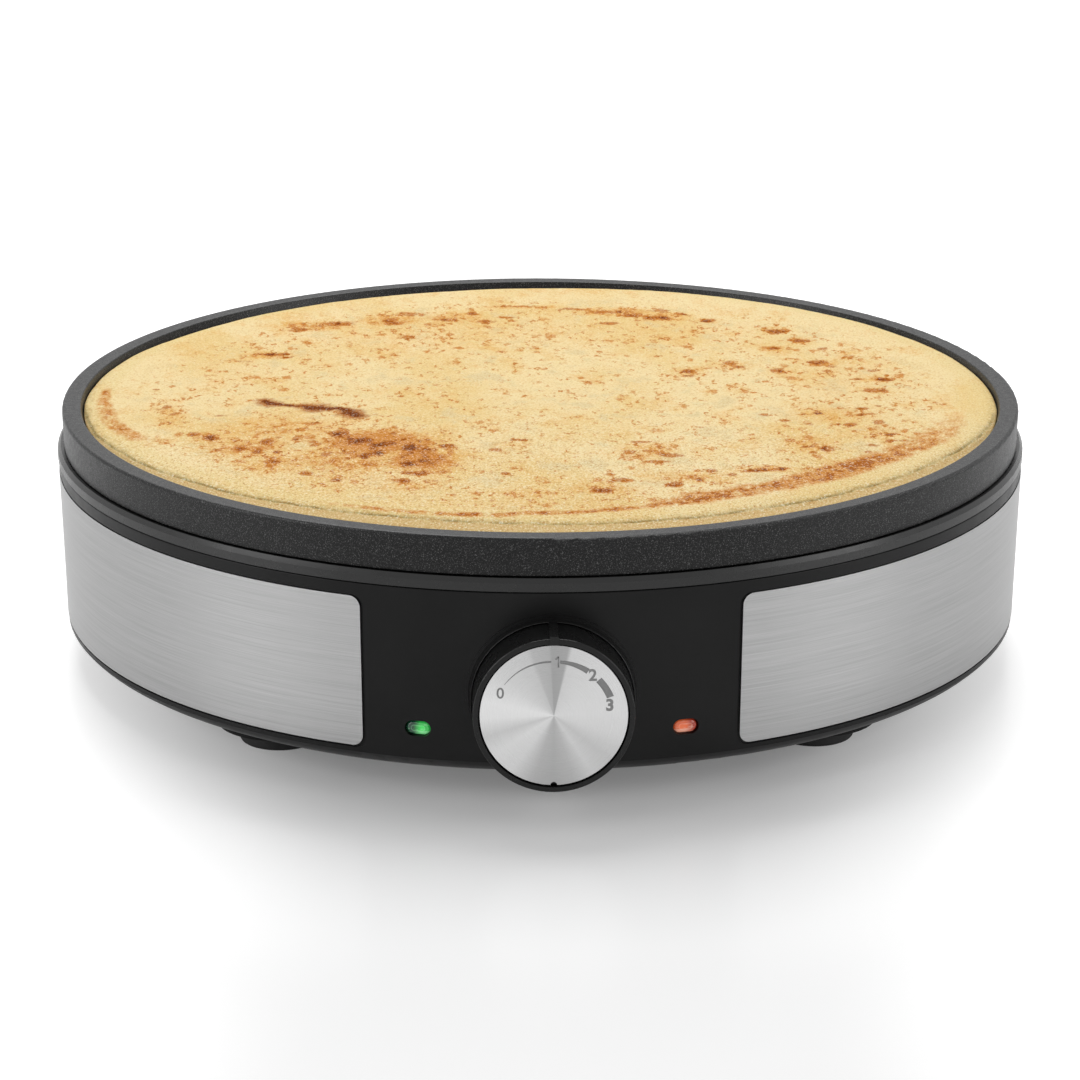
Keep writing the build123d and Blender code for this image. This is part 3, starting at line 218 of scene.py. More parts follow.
def bump(tree, height, depth):
    # a height pattern as small relief, with its depth in millimetres
    return add(tree, "Bump", {"Height": height, "Distance": depth * mm}).outputs[0]


# moulded and rubbery stock

mouldedStock = {
    # colour, roughness, scale of the grain and its depth in millimetres, wander of the tone, gloss
    "ring_black": (grey(6), 0.28, 1500.0, 0.004, 0.25, 0.55),
    "housing_black": (grey(25), 0.34, 1700.0, 0.012, 0.25, 0.17),
    "base_black": (grey(18), 0.32, 900.0, 0.01, 0.25, 0.14),
    "knob_black": (grey(20), 0.28, 1600.0, 0.004, 0.25, 0.28),
    "carrier_black": (grey(30), 0.5, 1200.0, 0.01, 0.25, 0.5),
    "foot_rubber": (grey(28), 0.7, 1400.0, 0.04, 0.25, 0.5),
    "gland_rubber": (grey(32), 0.62, 1400.0, 0.03, 0.25, 0.5),
    "element_sheath": (grey(96), 0.55, 1100.0, 0.02, 0.25, 0.5),
    "ceramic_beads": (tone(238, 234, 222), 0.35, 1300.0, 0.02, 0.05, 0.5),
    "block_white": (tone(232, 232, 226), 0.4, 900.0, 0.01, 0.05, 0.5),
    "sleeve_plastic": (tone(216, 216, 210), 0.45, 900.0, 0.01, 0.06, 0.5),
    "wire_brown": (tone(110, 62, 36), 0.42, 700.0, 0.01, 0.12, 0.5),
    "wire_blue": (tone(38, 88, 168), 0.42, 700.0, 0.01, 0.12, 0.5),
    "wire_white": (tone(230, 228, 220), 0.5, 700.0, 0.02, 0.05, 0.5),
}

mouldedSkin = {
    "toneScale": 22.0,
    "glossScale": 160.0,
    "glossSpread": 0.035,
}


def mouldedFinish(name, colour, rough, grain, depth, wander, gloss):
    # a slow wander of tone, a finer one of gloss, and a skin of fine grain
    made, tree, shader = surface(name, {"Specular IOR Level": gloss})
    point = objectPoint(tree)
    slow = noise(tree, point, mouldedSkin["toneScale"], 3.0)
    sheen = noise(tree, point, mouldedSkin["glossScale"], 3.0)
    fine = noise(tree, point, grain, 3.0, 0.6)
    feed(tree, shader, {
        "Base Color": mix(tree, between(tree, slow, 0.3, 0.7), *shades(colour, wander)),
        "Roughness": uneven(tree, sheen, rough, mouldedSkin["glossSpread"]),
        "Normal": bump(tree, fine, depth),
    })
    return made


# plain metal stock

metalStock = {
    # colour, roughness, scale of the marks along x, y and z, wander of the tone
    "steel_pins": (grey(200), 0.28, (90.0, 90.0, 12.0), 0.08),
    "zinc_sheet": (tone(196, 198, 202), 0.36, (30.0, 120.0, 120.0), 0.16),
    "zinc_screws": (tone(204, 204, 206), 0.26, (70.0, 70.0, 16.0), 0.08),
    "reflector_sheet": (tone(214, 214, 210), 0.3, (18.0, 140.0, 60.0), 0.08),
    "brass_turned": (tone(222, 192, 120), 0.28, (120.0, 16.0, 120.0), 0.08),
    "brass_leaf": (tone(228, 196, 124), 0.33, (120.0, 16.0, 120.0), 0.08),
    "bimetal_sheet": (tone(186, 178, 170), 0.38, (120.0, 16.0, 120.0), 0.08),
}

metalMarks = {
    "toneScale": 35.0,
    "markScale": 12.0,
    "brighter": 0.06,  # how much less rough the smooth marks are
    "duller": 0.08,
    "depth": 0.004,
}


def metalFinish(name, colour, rough, grain, wander):
    # rolling or turning marks drawn out along the stock's length
    made, tree, shader = surface(name, {"Metallic": 1.0})
    point = objectPoint(tree)
    marks = noise(tree, stretched(tree, point, grain), metalMarks["markScale"], 4.0, 0.65)
    slow = noise(tree, point, metalMarks["toneScale"], 3.0)
    smoothest, roughest = rough - metalMarks["brighter"], rough + metalMarks["duller"]
    feed(tree, shader, {
        "Base Color": mix(tree, times(tree, slow, marks), *shades(colour, wander)),
        "Roughness": between(tree, marks, 0.2, 0.8, smoothest, roughest),
        "Normal": bump(tree, marks, metalMarks["depth"]),
    })
    return made


# side panels

brushedSteel = {
    "colour": (0.418, 0.418, 0.418),
    "contrast": 0.15,
    "anisotropy": 0.45,
    "rough": 0.33,
    "roughSpread": 0.05,
    "along": 4.0,
    "across": 5200.0,
    "bandScale": (0.35, 0.2, 1.0),
    "bandShare": 0.25,
    "depth": 0.0025,
}


def brushedFinish(name, steel):
    # stainless sheet brushed along its length: azimuth and height make the grain's own plane
    made, tree, shader = surface(name, {"Metallic": 1.0, "Anisotropic": steel["anisotropy"]})
    point = objectPoint(tree)
    x, y, z = split(tree, point)
    turn = calc(tree, "ARCTAN2", x, times(tree, y, -1.0))
    flow = add(tree, "CombineXYZ", {
        0: times(tree, turn, steel["along"]),
        1: times(tree, z, steel["across"]),
    }).outputs[0]
    hair = noise(tree, flow, 1.0, 3.0, 0.7)
    bands = noise(tree, stretched(tree, flow, steel["bandScale"]), 1.0, 2.0)
    mixed = total(tree, times(tree, hair, 1.0 - steel["bandShare"]), times(tree, bands, steel["bandShare"]))
    tones = shades(steel["colour"], steel["contrast"])
    feed(tree, shader, {
        "Base Color": mix(tree, between(tree, mixed, 0.3, 0.7), *tones),
        "Roughness": uneven(tree, mixed, steel["rough"], steel["roughSpread"]),
        "Tangent": vectorCalc(tree, "NORMALIZE", vectorCalc(tree, "CROSS_PRODUCT", (0.0, 0.0, 1.0), point)),
        "Normal": bump(tree, hair, steel["depth"]),
    })
    return made


# dial face

axisHeight = next(joint["pos_m"][2] for joint in frame["joints"] if joint["name"] == "knob_turn")

dialMetal = {
    "rough": 0.3,
    "roughSpread": 0.05,
    "rings": 5200.0,
    "ringTones": (grey(202), grey(250)),
    "depth": 0.002,
    # turn round the face, 0 at the bottom and clockwise seen from the front, with the lightness of the
    # painted highlights there
    "paintedHighlightSectors": (
        (0.0, 0.5), (0.045, 0.54), (0.10, 0.76), (0.155, 0.8), (0.20, 0.66), (0.245, 0.86), (0.285, 0.88),
        (0.36, 0.72), (0.438, 0.64), (0.45, 0.54), (0.488, 0.5), (0.494, 0.42), (0.532, 0.44), (0.54, 0.7),
        (0.585, 0.74), (0.66, 0.78), (0.74, 0.8), (0.80, 0.76), (0.86, 0.64), (0.91, 0.72), (0.955, 0.56),
        (1.0, 0.5),
    ),
}


def spunFinish(name, dial):
    # spun aluminium: fine rings round the axis, and the soft wedges of light that they throw, painted into
    # the colour as painted highlights and shade
    made, tree, shader = surface(name, {"Metallic": 1.0})
    x, z = split(tree, objectPoint(tree), "XZ")
    rise = calc(tree, "SUBTRACT", z, axisHeight)
    turn = calc(tree, "ARCTAN2", times(tree, x, -1.0), times(tree, rise, -1.0))
    share = calc(tree, "FRACT", total(tree, calc(tree, "DIVIDE", turn, 2.0 * math.pi), 1.0))
    paintedHighlightWedges = ramp(tree, share, [(spot, (level, level, level, 1.0)) for spot, level in dial["paintedHighlightSectors"]])
    radius = times(tree, slant(tree, rise, x), dial["rings"])
    rings = noise(tree, add(tree, "CombineXYZ", {0: radius}).outputs[0], 1.0, 3.0, 0.75)
    ringTone = ramp(tree, rings, list(zip((0.25, 0.75), dial["ringTones"])))
    feed(tree, shader, {
        "Base Color": mix(tree, 0.5, paintedHighlightWedges, ringTone, "MULTIPLY"),
        "Roughness": uneven(tree, rings, dial["rough"], dial["roughSpread"]),
        "Normal": bump(tree, rings, dial["depth"]),
    })
    return made


# baking plate

plateCoat = {
    "dark": grey(3),
    "light": grey(6),
    "fleck": grey(150),
    "fleckScale": 2900.0,
    "fleckRange": (0.55, 0.67),
    "fleckStrength": 0.4,
    "fleckRise": 0.3,
    "skinScale": 700.0,
    "specular": 0.3,
    "smoothest": 0.31,
    "roughest": 0.42,
    "depth": 0.04,
}


def coatedFinish(name, coat):
    # non-stick coat: satin black, a fine orange-peel skin and pale flecks shot through it
    made, tree, shader = surface(name, {"Specular IOR Level": coat["specular"]})
    point = objectPoint(tree)
    slow = noise(tree, point, 18.0, 3.0)
    skin = noise(tree, point, coat["skinScale"], 3.0, 0.6)
    flecks = between(tree, noise(tree, point, coat["fleckScale"], 2.0, 0.7), *coat["fleckRange"])
    ground = mix(tree, between(tree, slow, 0.3, 0.7), coat["dark"], coat["light"])
    feed(tree, shader, {
        "Base Color": mix(tree, times(tree, flecks, coat["fleckStrength"]), ground, coat["fleck"]),
        "Roughness": between(tree, skin, 0.25, 0.75, coat["smoothest"], coat["roughest"]),
        "Normal": bump(tree, total(tree, skin, times(tree, flecks, coat["fleckRise"])), coat["depth"]),
    })
    return made


# lamp lenses, in metres: x is each lens's place, span runs from its dark side to its lit one,
# which are painted shade and painted light; streak is the colour of the lens's painted highlights

lampLenses = {
    "lens_green": {
        "x": -0.0406,
        "span": (-0.0018, 0.0012),
        "dark": tone(10, 55, 38),
        "lit": tone(60, 215, 90),
        "streak": tone(150, 235, 165),
        "glow": 0.35,
    },
    "lens_orange": {
        "x": 0.0406,
        "span": (0.0026, -0.0004),
        "dark": tone(170, 55, 35),
        "lit": tone(245, 115, 62),
        "streak": tone(250, 196, 172),
        "glow": 0.2,
    },
}

lensForm = {
    "height": sum(corner[2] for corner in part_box("power_lamp_lens")) / 2.0,
    "halfStraight": 0.0012,  # half the length of its straight sides
    # rim and halo are a painted dark rim and a painted highlight ring; glint is a painted glint near the
    # lower edge
    "paintedShadeRim": (0.0007, 0.00115),  # distances from its middle line, here and for the halo
    "paintedHighlightRingInside": (0.0006, 0.0008),
    "paintedHighlightRingOutside": (0.0011, 0.0009),
    "glint": (-0.0006, -0.0009),
    "ribDepth": 0.06,
}


def lensFinish(name, lens):
    # tinted lens with painted light: painted shade towards one side where the well shades it, a painted dark
    # rim, a painted highlight ring and glint, and pale painted highlights on the ribs inside
    made, tree, shader = surface(name, {
        "Roughness": 0.12,
        "Coat Weight": 0.6,
        "Coat Roughness": 0.05,
        "Emission Strength": lens["glow"],
    })
    point = stretched(tree, objectPoint(tree), (1.0, 1.0, 1.0), (-lens["x"], 0.0, -lensForm["height"]))
    x, z = split(tree, point, "XZ")
    paintedLightShare = between(tree, x, *lens["span"])
    ribs = between(tree, noise(tree, stretched(tree, point, (1.0, 0.2, 2.6)), 420.0, 2.0), 0.52, 0.68)
    ends = calc(tree, "SUBTRACT", calc(tree, "ABSOLUTE", x), lensForm["halfStraight"], clamp=True)
    away = slant(tree, ends, z)
    paintedShadeRim = times(tree, between(tree, away, *lensForm["paintedShadeRim"]), between(tree, paintedLightShare, 0.0, 1.0, 0.85, 0.3))
    inner, outer = (between(tree, away, *lensForm[edge]) for edge in ("paintedHighlightRingInside", "paintedHighlightRingOutside"))
    paintedHighlightRing = times(tree, times(tree, inner, outer), 0.2)
    glint = times(tree, times(tree, between(tree, z, *lensForm["glint"]), paintedLightShare), 0.6)
    # painted light and shade across the lens, then its painted dark rim, highlight ring, and glint with the
    # ribs' painted highlights
    shade = mix(tree, paintedLightShare, lens["dark"], lens["lit"])
    shade = mix(tree, paintedShadeRim, shade, lens["dark"])
    shade = mix(tree, paintedHighlightRing, shade, lens["streak"])
    shade = mix(tree, calc(tree, "MAXIMUM", times(tree, ribs, 0.5), glint), shade, lens["streak"])
    normal = bump(tree, ribs, lensForm["ribDepth"])
    feed(tree, shader, {"Base Color": shade, "Emission Color": shade, "Normal": normal})
    return made


# bulbs and earth wire

bulbGlass = {
    "tints": (tone(225, 235, 232), tone(250, 252, 250)),
    "clearness": 0.9,
    "index": 1.45,
    "smoothest": 0.03,
    "roughest": 0.1,
}

earthWire = {
    "green": tone(44, 120, 56),
    "yellow": tone(232, 206, 62),
    "stripes": 1300.0,
    "rough": 0.42,
    "depth": 0.01,
}


def glassFinish(name, glass):
    # clear glass with a faint wander of tint and gloss
    made, tree, shader = surface(name, {"Transmission Weight": glass["clearness"], "IOR": glass["index"]})
    point = objectPoint(tree)
    haze = noise(tree, point, 300.0)
    feed(tree, shader, {
        "Base Color": mix(tree, noise(tree, point, 90.0), *glass["tints"]),
        "Roughness": between(tree, haze, 0.2, 0.8, glass["smoothest"], glass["roughest"]),
    })
    return made


def stripedFinish(name, wire):
    # green sleeve with yellow stripes winding round it: a sine of x + y + z
    made, tree, shader = surface(name, {"Roughness": wire["rough"]})
    point = objectPoint(tree)
    run = total(tree, *split(tree, point))
    stripe = between(tree, calc(tree, "SINE", times(tree, run, wire["stripes"])), -0.25, 0.25)
    feed(tree, shader, {
        "Base Color": mix(tree, stripe, wire["green"], wire["yellow"]),
        "Normal": bump(tree, noise(tree, point, 700.0), wire["depth"]),
    })
    return made


finishes = {slot: mouldedFinish(slot, *row) for slot, row in mouldedStock.items()}
finishes.update({slot: metalFinish(slot, *row) for slot, row in metalStock.items()})
finishes.update({slot: lensFinish(slot, lens) for slot, lens in lampLenses.items()})
for slot, finish, values in (
    ("panel_steel", brushedFinish, brushedSteel),
    ("dial_aluminium", spunFinish, dialMetal),
    ("plate_coating", coatedFinish, plateCoat),
    ("bulb_glass", glassFinish, bulbGlass),
    ("wire_green_yellow", stripedFinish, earthWire),
):
    finishes[slot] = finish(slot, values)

unfinished = set()
for node in cadNodes.values():
    for holder in node.material_slots:
        slotName = holder.material.name.split(".")[0] if holder.material else ""
        if slotName in finishes:
            holder.material = finishes[slotName]
        elif slotName != "crepe_batter":
            unfinished.add((node.name, slotName))
print("finishes given, without one:", sorted(unfinished))

# helpers for meshes


def gridFaces(rows, columns):
    # quads of a grid whose columns close into a ring: each cell's four corners by index
    row, column = np.meshgrid(np.arange(rows - 1), np.arange(columns), indexing="ij")
    following = (column + 1) % columns
    corners = [row * columns + column, row * columns + following,
               (row + 1) * columns + following, (row + 1) * columns + column]
    return np.stack(corners, -1).reshape(-1, 4)


def closedShell(name, rings):
    # rings of points joined by quads, and a fan from each end ring to a pole at that ring's middle
    rows, columns = rings.shape[:2]
    poles = np.stack([rings[0].mean(0), rings[-1].mean(0)])
    points = np.concatenate([rings.reshape(-1, 3), poles])
    quads = gridFaces(rows, columns)
    column = np.arange(columns)
    following = (column + 1) % columns
    lastRow = (rows - 1) * columns
    first = np.stack([following, column, np.full(columns, rows * columns)], -1)
    last = np.stack([lastRow + column, lastRow + following, np.full(columns, rows * columns + 1)], -1)
    mesh = bpy.data.meshes.new(name)
    mesh.from_pydata(points.tolist(), [], quads.tolist() + first.tolist() + last.tolist())
    mesh.polygons.foreach_set("use_smooth", np.ones(len(mesh.polygons), bool))
    mesh.update()
    return placed(name, mesh)


def waves(x, y, length, seed, count=14):
    # sum of sine ripples in seeded directions, each 0.6 to 1.6 times the length, mostly within -1 to 1
    draw = np.random.default_rng(seed)
    way = draw.uniform(0.0, 2.0 * math.pi, count)
    pace = 2.0 * math.pi / (length * draw.uniform(0.6, 1.6, count))
    start = draw.uniform(0.0, 2.0 * math.pi, count)
    height = np.zeros_like(x)
    for angle, rate, phase in zip(way, pace, start):
        height += np.sin(rate * (x * math.cos(angle) + y * math.sin(angle)) + phase)
    return height / math.sqrt(count) * 0.6


def smooth(value, low, high):
    # 0 up to low, 1 from high, and 3 t^2 - 2 t^3 between them
    share = np.clip((value - low) / (high - low), 0.0, 1.0)
    return share * share * (3.0 - 2.0 * share)


def joined(turn, places, column=1):
    # a listed value joined up by straight runs, read at each turn from the front
    rows = np.array(places)
    aside = np.degrees((turn + math.pi) % (2.0 * math.pi) - math.pi)
    return np.interp(aside, rows[:, 0], rows[:, column])


def waver(turn, parts):
    # sum of sine waves round the edge, each with its height, its number of waves and its start
    return sum(height * np.sin(count * turn + start) for height, count, start in parts)


# the crepe, in millimetres from the plate's centre

crepeLow, crepeHigh = (np.array(corner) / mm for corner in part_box("crepe"))

crepeShape = {
    "spokes": 560,
    "innerRings": 108,
    "lipRings": 26,
    "bandRings": 10,
    "edgeRings": 5,
    "underRings": 4,
    "outline": crepeHigh[0] + 0.95,
    "inset": 1.1,
    "under": crepeLow[2] + 0.03,
    "top": crepeHigh[2] - 0.55,
    "highest": crepeHigh[2] - 0.02,
    "ripples": ((0.10, 60.0, 3), (0.06, 17.0, 4), (0.035, 6.0, 5)),  # height, length and seed
    "edgeRun": 0.9,
    "edgeDrop": 0.63,
    "edgeWaver": ((0.1, 13, 2.1), (0.06, 31, 0.7)),
    "lipRise": 0.55,
    "lipWidth": 7.0,
    "leftLip": 0.45,  # share of the lip's rise that the left side has
    "lipZone": 18.0,
    "lipCrowding": 1.5,
    "creaseDepth": 0.44,
    "creaseRipple": (0.22, 9.0, 6),  # height, length and seed
    "creaseWidth": 0.8,
    "creaseWaver": ((0.35, 9, 1.0), (0.22, 23, 0.0), (0.12, 57, 0.4)),
    "creaseToEdge": 1.2,
    "bandDrop": 1.05,
    "bandStart": -0.8,
    "bandEnd": 2.5,
    "bandCrowding": 1.3,
    "poleShare": 0.02,
    # turn from the front in degrees, and how far the edge falls short of the outline
    "shortfall": (
        (-180, 1.6), (-170, 2.8), (-150, 2.4), (-125, 2.0), (-112, 0.5), (-100, 0.1), (-84, 0.1), (-60, 0.8),
        (0, 0.8), (60, 0.5), (76, 0.0), (150, 0.1), (168, 0.9), (180, 1.6),
    ),
    # turn from the front in degrees, and the crease's distance from the centre
    "crease": (
        (-180, 160.0), (-88, 153.0), (-80, 151.2), (-74, 150.4), (-68, 149.2), (-61, 147.8), (-54, 146.4),
        (-48, 144.4), (-40, 142.4), (-34, 141.0), (-27, 139.8), (-20, 139.0), (-14, 138.4), (-7, 138.2),
        (0, 138.6), (7, 139.2), (14, 139.8), (21, 140.6), (28, 141.0), (35, 141.6), (43, 142.8), (50, 144.2),
        (56, 145.8), (65, 147.8), (72, 150.2), (78, 151.6), (86, 153.2), (180, 160.0),
    ),
}

# browned places: x, y, half length across, half length in depth, strength
bakedSpots = [
    (-147, 8, 1, 5.8, 0.6), (-146, -4, 1, 5.7, 0.6), (-144, -19, 1, 5.6, 0.65), (-141, -33, 1, 3.9, 0.6),
    (-125, -8, 1.8, 2.5, 0.8), (-122, -17, 1.6, 2, 0.75), (-114, -41, 2.1, 2.7, 0.6),
    (-108, -46, 3, 3, 0.9), (-98, -57, 2.6, 3.4, 0.95), (-105, -59, 1.7, 2.2, 0.6),
    (-92, -62, 3, 2.3, 0.75), (-90, -50, 2.2, 5, 0.9), (-86, -45, 2, 2, 0.6), (-86, -62, 2.1, 1.9, 0.7),
    (-87, -73, 3.4, 2.2, 0.75), (-76, -86, 2.7, 2.9, 0.85), (-80, -46, 1.7, 3.5, 0.75),
    (-75, -51, 1.9, 2.7, 0.55), (-106, -19, 2.4, 1.6, 0.75), (-130, 13, 1.2, 1.2, 0.8),
    (-66, -41, 3.9, 5.4, 1), (-60, -49, 5.4, 4.2, 1), (-51, -53, 4.3, 3.5, 0.9), (-43, -58, 5, 3.4, 0.85),
    (-38, -61, 3, 3.8, 1), (-31, -57, 3.2, 4.6, 0.7), (-37, -74, 3.6, 4, 0.85), (-43, -76, 5.3, 3, 0.65),
    (-53, -64, 2.5, 3, 0.7), (-57, -66, 4.3, 4.1, 0.6), (-63, -63, 3.9, 3, 0.55), (-70, -64, 2.6, 3.7, 0.7),
    (-74, -53, 2.4, 3.4, 0.6), (-42, -86, 5.9, 3.2, 0.65), (-46, -94, 3.1, 2.8, 0.75),
    (-75, -30, 4.4, 3.2, 0.3), (-66, -94, 3.1, 2.5, 0.65), (-16, -61, 2.6, 2.2, 0.9),
    (-13, -87, 2.1, 1.8, 1), (-8, -50, 4.3, 1.2, 0.75), (-47, 3, 1.7, 1.6, 0.7), (-85, 92, 6, 3.8, 0.6),
    (-71, 100, 6.7, 3.8, 0.9), (-52, 104, 2.9, 3.8, 0.8), (-50, 100, 2.9, 2.9, 0.7),
    (-45, 113, 7.3, 3.3, 0.6), (-46, 81, 3.3, 4.2, 0.7), (-31, 105, 3.6, 2.9, 0.7),
    (-22, 113, 2.1, 3.9, 0.6), (-17, 102, 3.1, 2.8, 0.7), (-9, 108, 4.6, 1.9, 0.6),
    (-4, 124, 8.1, 1.9, 0.6), (-92, 58, 6.5, 2.2, 0.85), (-87, 54, 2.8, 1.8, 0.6),
    (-103, 49, 3.9, 1.8, 0.6), (14, 119, 7.3, 2.4, 0.6), (28, 115, 7.4, 2.9, 0.8), (36, 110, 6, 2.9, 0.8),
    (44, 106, 5.4, 3.3, 0.9), (47, 117, 4.2, 3.4, 0.7), (54, 112, 2.5, 2.4, 0.6), (27, 99, 4.1, 1.9, 0.8),
    (63, 102, 3.1, 2.9, 0.9), (87, 86, 5, 3.2, 0.75), (94, 73, 4.7, 2.8, 0.8), (84, 63, 2.3, 2.3, 0.7),
    (101, 62, 2.4, 2.7, 0.7), (110, 51, 1.9, 2.7, 0.6), (67, 43, 3.3, 3, 0.8), (70, 38, 3, 1.8, 0.6),
    (52, 33, 2.7, 3.4, 0.7), (52, 27, 2.1, 2.2, 0.6), (83, 33, 2.8, 3.9, 0.7), (98, 44, 3.5, 3.1, 0.9),
    (102, 38, 2.7, 1.7, 0.6), (112, 35, 2.1, 2.2, 0.6), (115, 32, 2.1, 1.8, 0.6), (109, 22, 2.5, 1.7, 0.6),
    (118, 21, 3.6, 2.5, 0.8), (114, 7, 5, 2.5, 1), (74, -22, 2.2, 2, 0.7), (80, -29, 1.6, 1.6, 0.8),
    (92, -20, 2, 2, 0.8), (107, -15, 2.9, 1.6, 0.9), (106, -22, 1.8, 2, 0.8), (109, -21, 2.4, 2, 0.7),
    (113, -12, 1.5, 1.6, 0.6), (101, -34, 2.9, 2.4, 0.9), (111, -31, 2, 2.8, 0.8), (88, -33, 1.5, 2.3, 0.6),
    (52, -36, 1.6, 1.1, 0.6), (80, -51, 2.6, 1.5, 0.7), (84, -60, 2.1, 1.5, 0.9), (86, -66, 1.5, 1.5, 0.9),
    (91, -62, 2.7, 3.7, 0.95), (114, -45, 2.6, 2, 0.7), (116, -53, 6, 2.2, 0.6), (106, -58, 2.7, 1.9, 0.6),
    (104, -66, 1.5, 1.8, 0.6), (31, -53, 3.8, 1.5, 0.8), (27, -65, 2.3, 3, 0.75), (32, -63, 2.2, 1.9, 0.55),
    (40, -68, 4.9, 2.6, 0.85), (35, -75, 4.4, 1.9, 0.75), (52, -85, 2.7, 2.2, 0.8),
    (58, -90, 2.9, 1.8, 0.7), (64, -86, 3, 1.8, 0.8), (68, -85, 4.6, 2.2, 1), (74, -84, 2.5, 2.2, 0.9),
    (48, -95, 1.9, 1.8, 0.8), (40, -100, 2.9, 3.5, 1), (20, -89, 1.7, 1.8, 0.6), (23, -95, 4.6, 2.5, 0.8),
    (17, -106, 4.6, 3.1, 1),
]

# soft golden places that lie round the browned ones, in the same order
warmPlaces = [
    (-54, -52, 24, 19, 1.15), (-40, -72, 17, 17, 1.0), (-62, -70, 27, 24, 0.62), (-86, -36, 30, 22, 0.5),
    (-96, -57, 22, 18, 0.55), (-84, -74, 18, 16, 0.5), (-64, -88, 24, 13, 0.35), (-44, -100, 20, 10, 0.35),
    (-122, -22, 7, 18, 0.45), (-108, -46, 9, 9, 0.5), (-80, 97, 22, 10, 0.6), (-52, 104, 16, 11, 0.65),
    (-28, 107, 18, 13, 0.45), (-46, 84, 9, 12, 0.4), (-4, 123, 20, 4, 0.5), (30, 115, 20, 8, 0.65),
    (46, 108, 14, 9, 0.65), (63, 102, 8, 6, 0.45), (86, 88, 8, 8, 0.55), (94, 73, 7, 9, 0.5),
    (84, 62, 9, 7, 0.4), (108, 52, 6, 11, 0.4), (99, 42, 9, 8, 0.5), (68, 40, 10, 9, 0.45),
    (84, 32, 8, 9, 0.4), (52, 32, 8, 9, 0.45), (116, 22, 8, 8, 0.5), (114, 7, 7, 7, 0.5),
    (-94, 57, 14, 7, 0.5), (-104, 50, 10, 6, 0.35), (-120, 70, 9, 11, 0.2), (98, -22, 22, 15, 0.4),
    (108, -42, 15, 14, 0.35), (86, -56, 13, 14, 0.45), (33, -64, 13, 14, 0.5), (16, -104, 16, 9, 0.5),
    (46, -92, 22, 9, 0.45), (68, -84, 14, 5, 0.55), (-6, -108, 24, 8, 0.3), (-12, -57, 9, 9, 0.3),
    (106, 26, 34, 52, 0.24), (0, -118, 70, 14, 0.2), (-34, 86, 90, 46, 0.24), (60, 84, 60, 40, 0.18),
    (-104, 30, 30, 40, 0.16),
]

# browned bands near the edge: turn in degrees, distance from the centre, half width, strength
brownedBand = [
    (-99, 147.4, 1.2, 0.0), (-94, 147.0, 1.8, 0.42), (-88, 146.0, 2.8, 0.52), (-82, 144.9, 3.2, 0.52),
    (-77, 143.4, 3.6, 0.5), (-73, 141.2, 4.2, 0.42), (-69, 138.6, 4.6, 0.3), (-60, 136.0, 4.0, 0.0),
    (-32, 136.6, 1.4, 0.05), (-26, 135.2, 1.8, 0.45), (-16, 133.9, 2.0, 0.55), (-7, 132.4, 2.2, 0.6),
    (-3, 129.6, 2.2, 0.72), (4, 128.6, 2.0, 0.62), (9, 127.4, 2.2, 0.68), (13, 126.5, 2.0, 0.45),
    (17, 125.0, 4.0, 0.66), (22, 123.0, 5.6, 0.76), (27, 124.2, 5.6, 0.68), (32, 123.8, 6.0, 0.72),
    (38, 125.4, 5.6, 0.68), (42, 125.8, 6.4, 0.84), (48, 127.2, 6.4, 0.86), (55, 129.4, 6.0, 0.8),
    (60, 131.8, 5.8, 0.72), (65, 134.4, 6.4, 0.58), (72, 137.6, 7.0, 0.42), (80, 139.5, 7.0, 0.15),
    (86, 140.5, 6.0, 0.0),
]

# wrinkle on the left, darkened by painted shade: x, y, half width of that shade at each point
foldShadePath = [
    (-92.6, -1.6, 1.8), (-90.4, -4.9, 2.1), (-87.2, -6.6, 1.3), (-82.7, -8.0, 1.1), (-78.8, -8.8, 2.0),
    (-75.4, -10.4, 3.0), (-71.4, -11.7, 1.7), (-67.6, -10.9, 1.1), (-65.3, -13.0, 1.9), (-63.4, -17.0, 2.9),
    (-61.4, -20.6, 2.1),
]


def spotted(x, y, places, inside, outside):
    # the strongest of the soft ovals over a point, whole up to the inside share of an oval's half lengths and
    # nothing past the outside share
    strongest = np.zeros_like(x)
    for spotX, spotY, length, depth, strength in places:
        share = np.hypot((x - spotX) / length, (y - spotY) / depth)
        strongest = np.maximum(strongest, strength * (1.0 - smooth(share, inside, outside)))
    return strongest


def bandStrength(turn, radius, band):
    # browned band: its strength, fading with the distance from its middle line in half widths
    middle, width, strength = (joined(turn, band, column) for column in (1, 2, 3))
    return strength * (1.0 - smooth(np.abs(radius - middle) / width, 0.2, 1.8))


def foldDistance(x, y, fold):
    # distance to the wrinkle's line in half widths, the nearest over all its straight runs
    nearest = np.full_like(x, 9.0)
    for (startX, startY, startWidth), (endX, endY, endWidth) in zip(fold[:-1], fold[1:]):
        runX, runY = endX - startX, endY - startY
        share = np.clip(((x - startX) * runX + (y - startY) * runY) / (runX * runX + runY * runY), 0.0, 1.0)
        away = np.hypot(x - startX - share * runX, y - startY - share * runY)
        nearest = np.minimum(nearest, away / (startWidth + share * (endWidth - startWidth)))
    return nearest


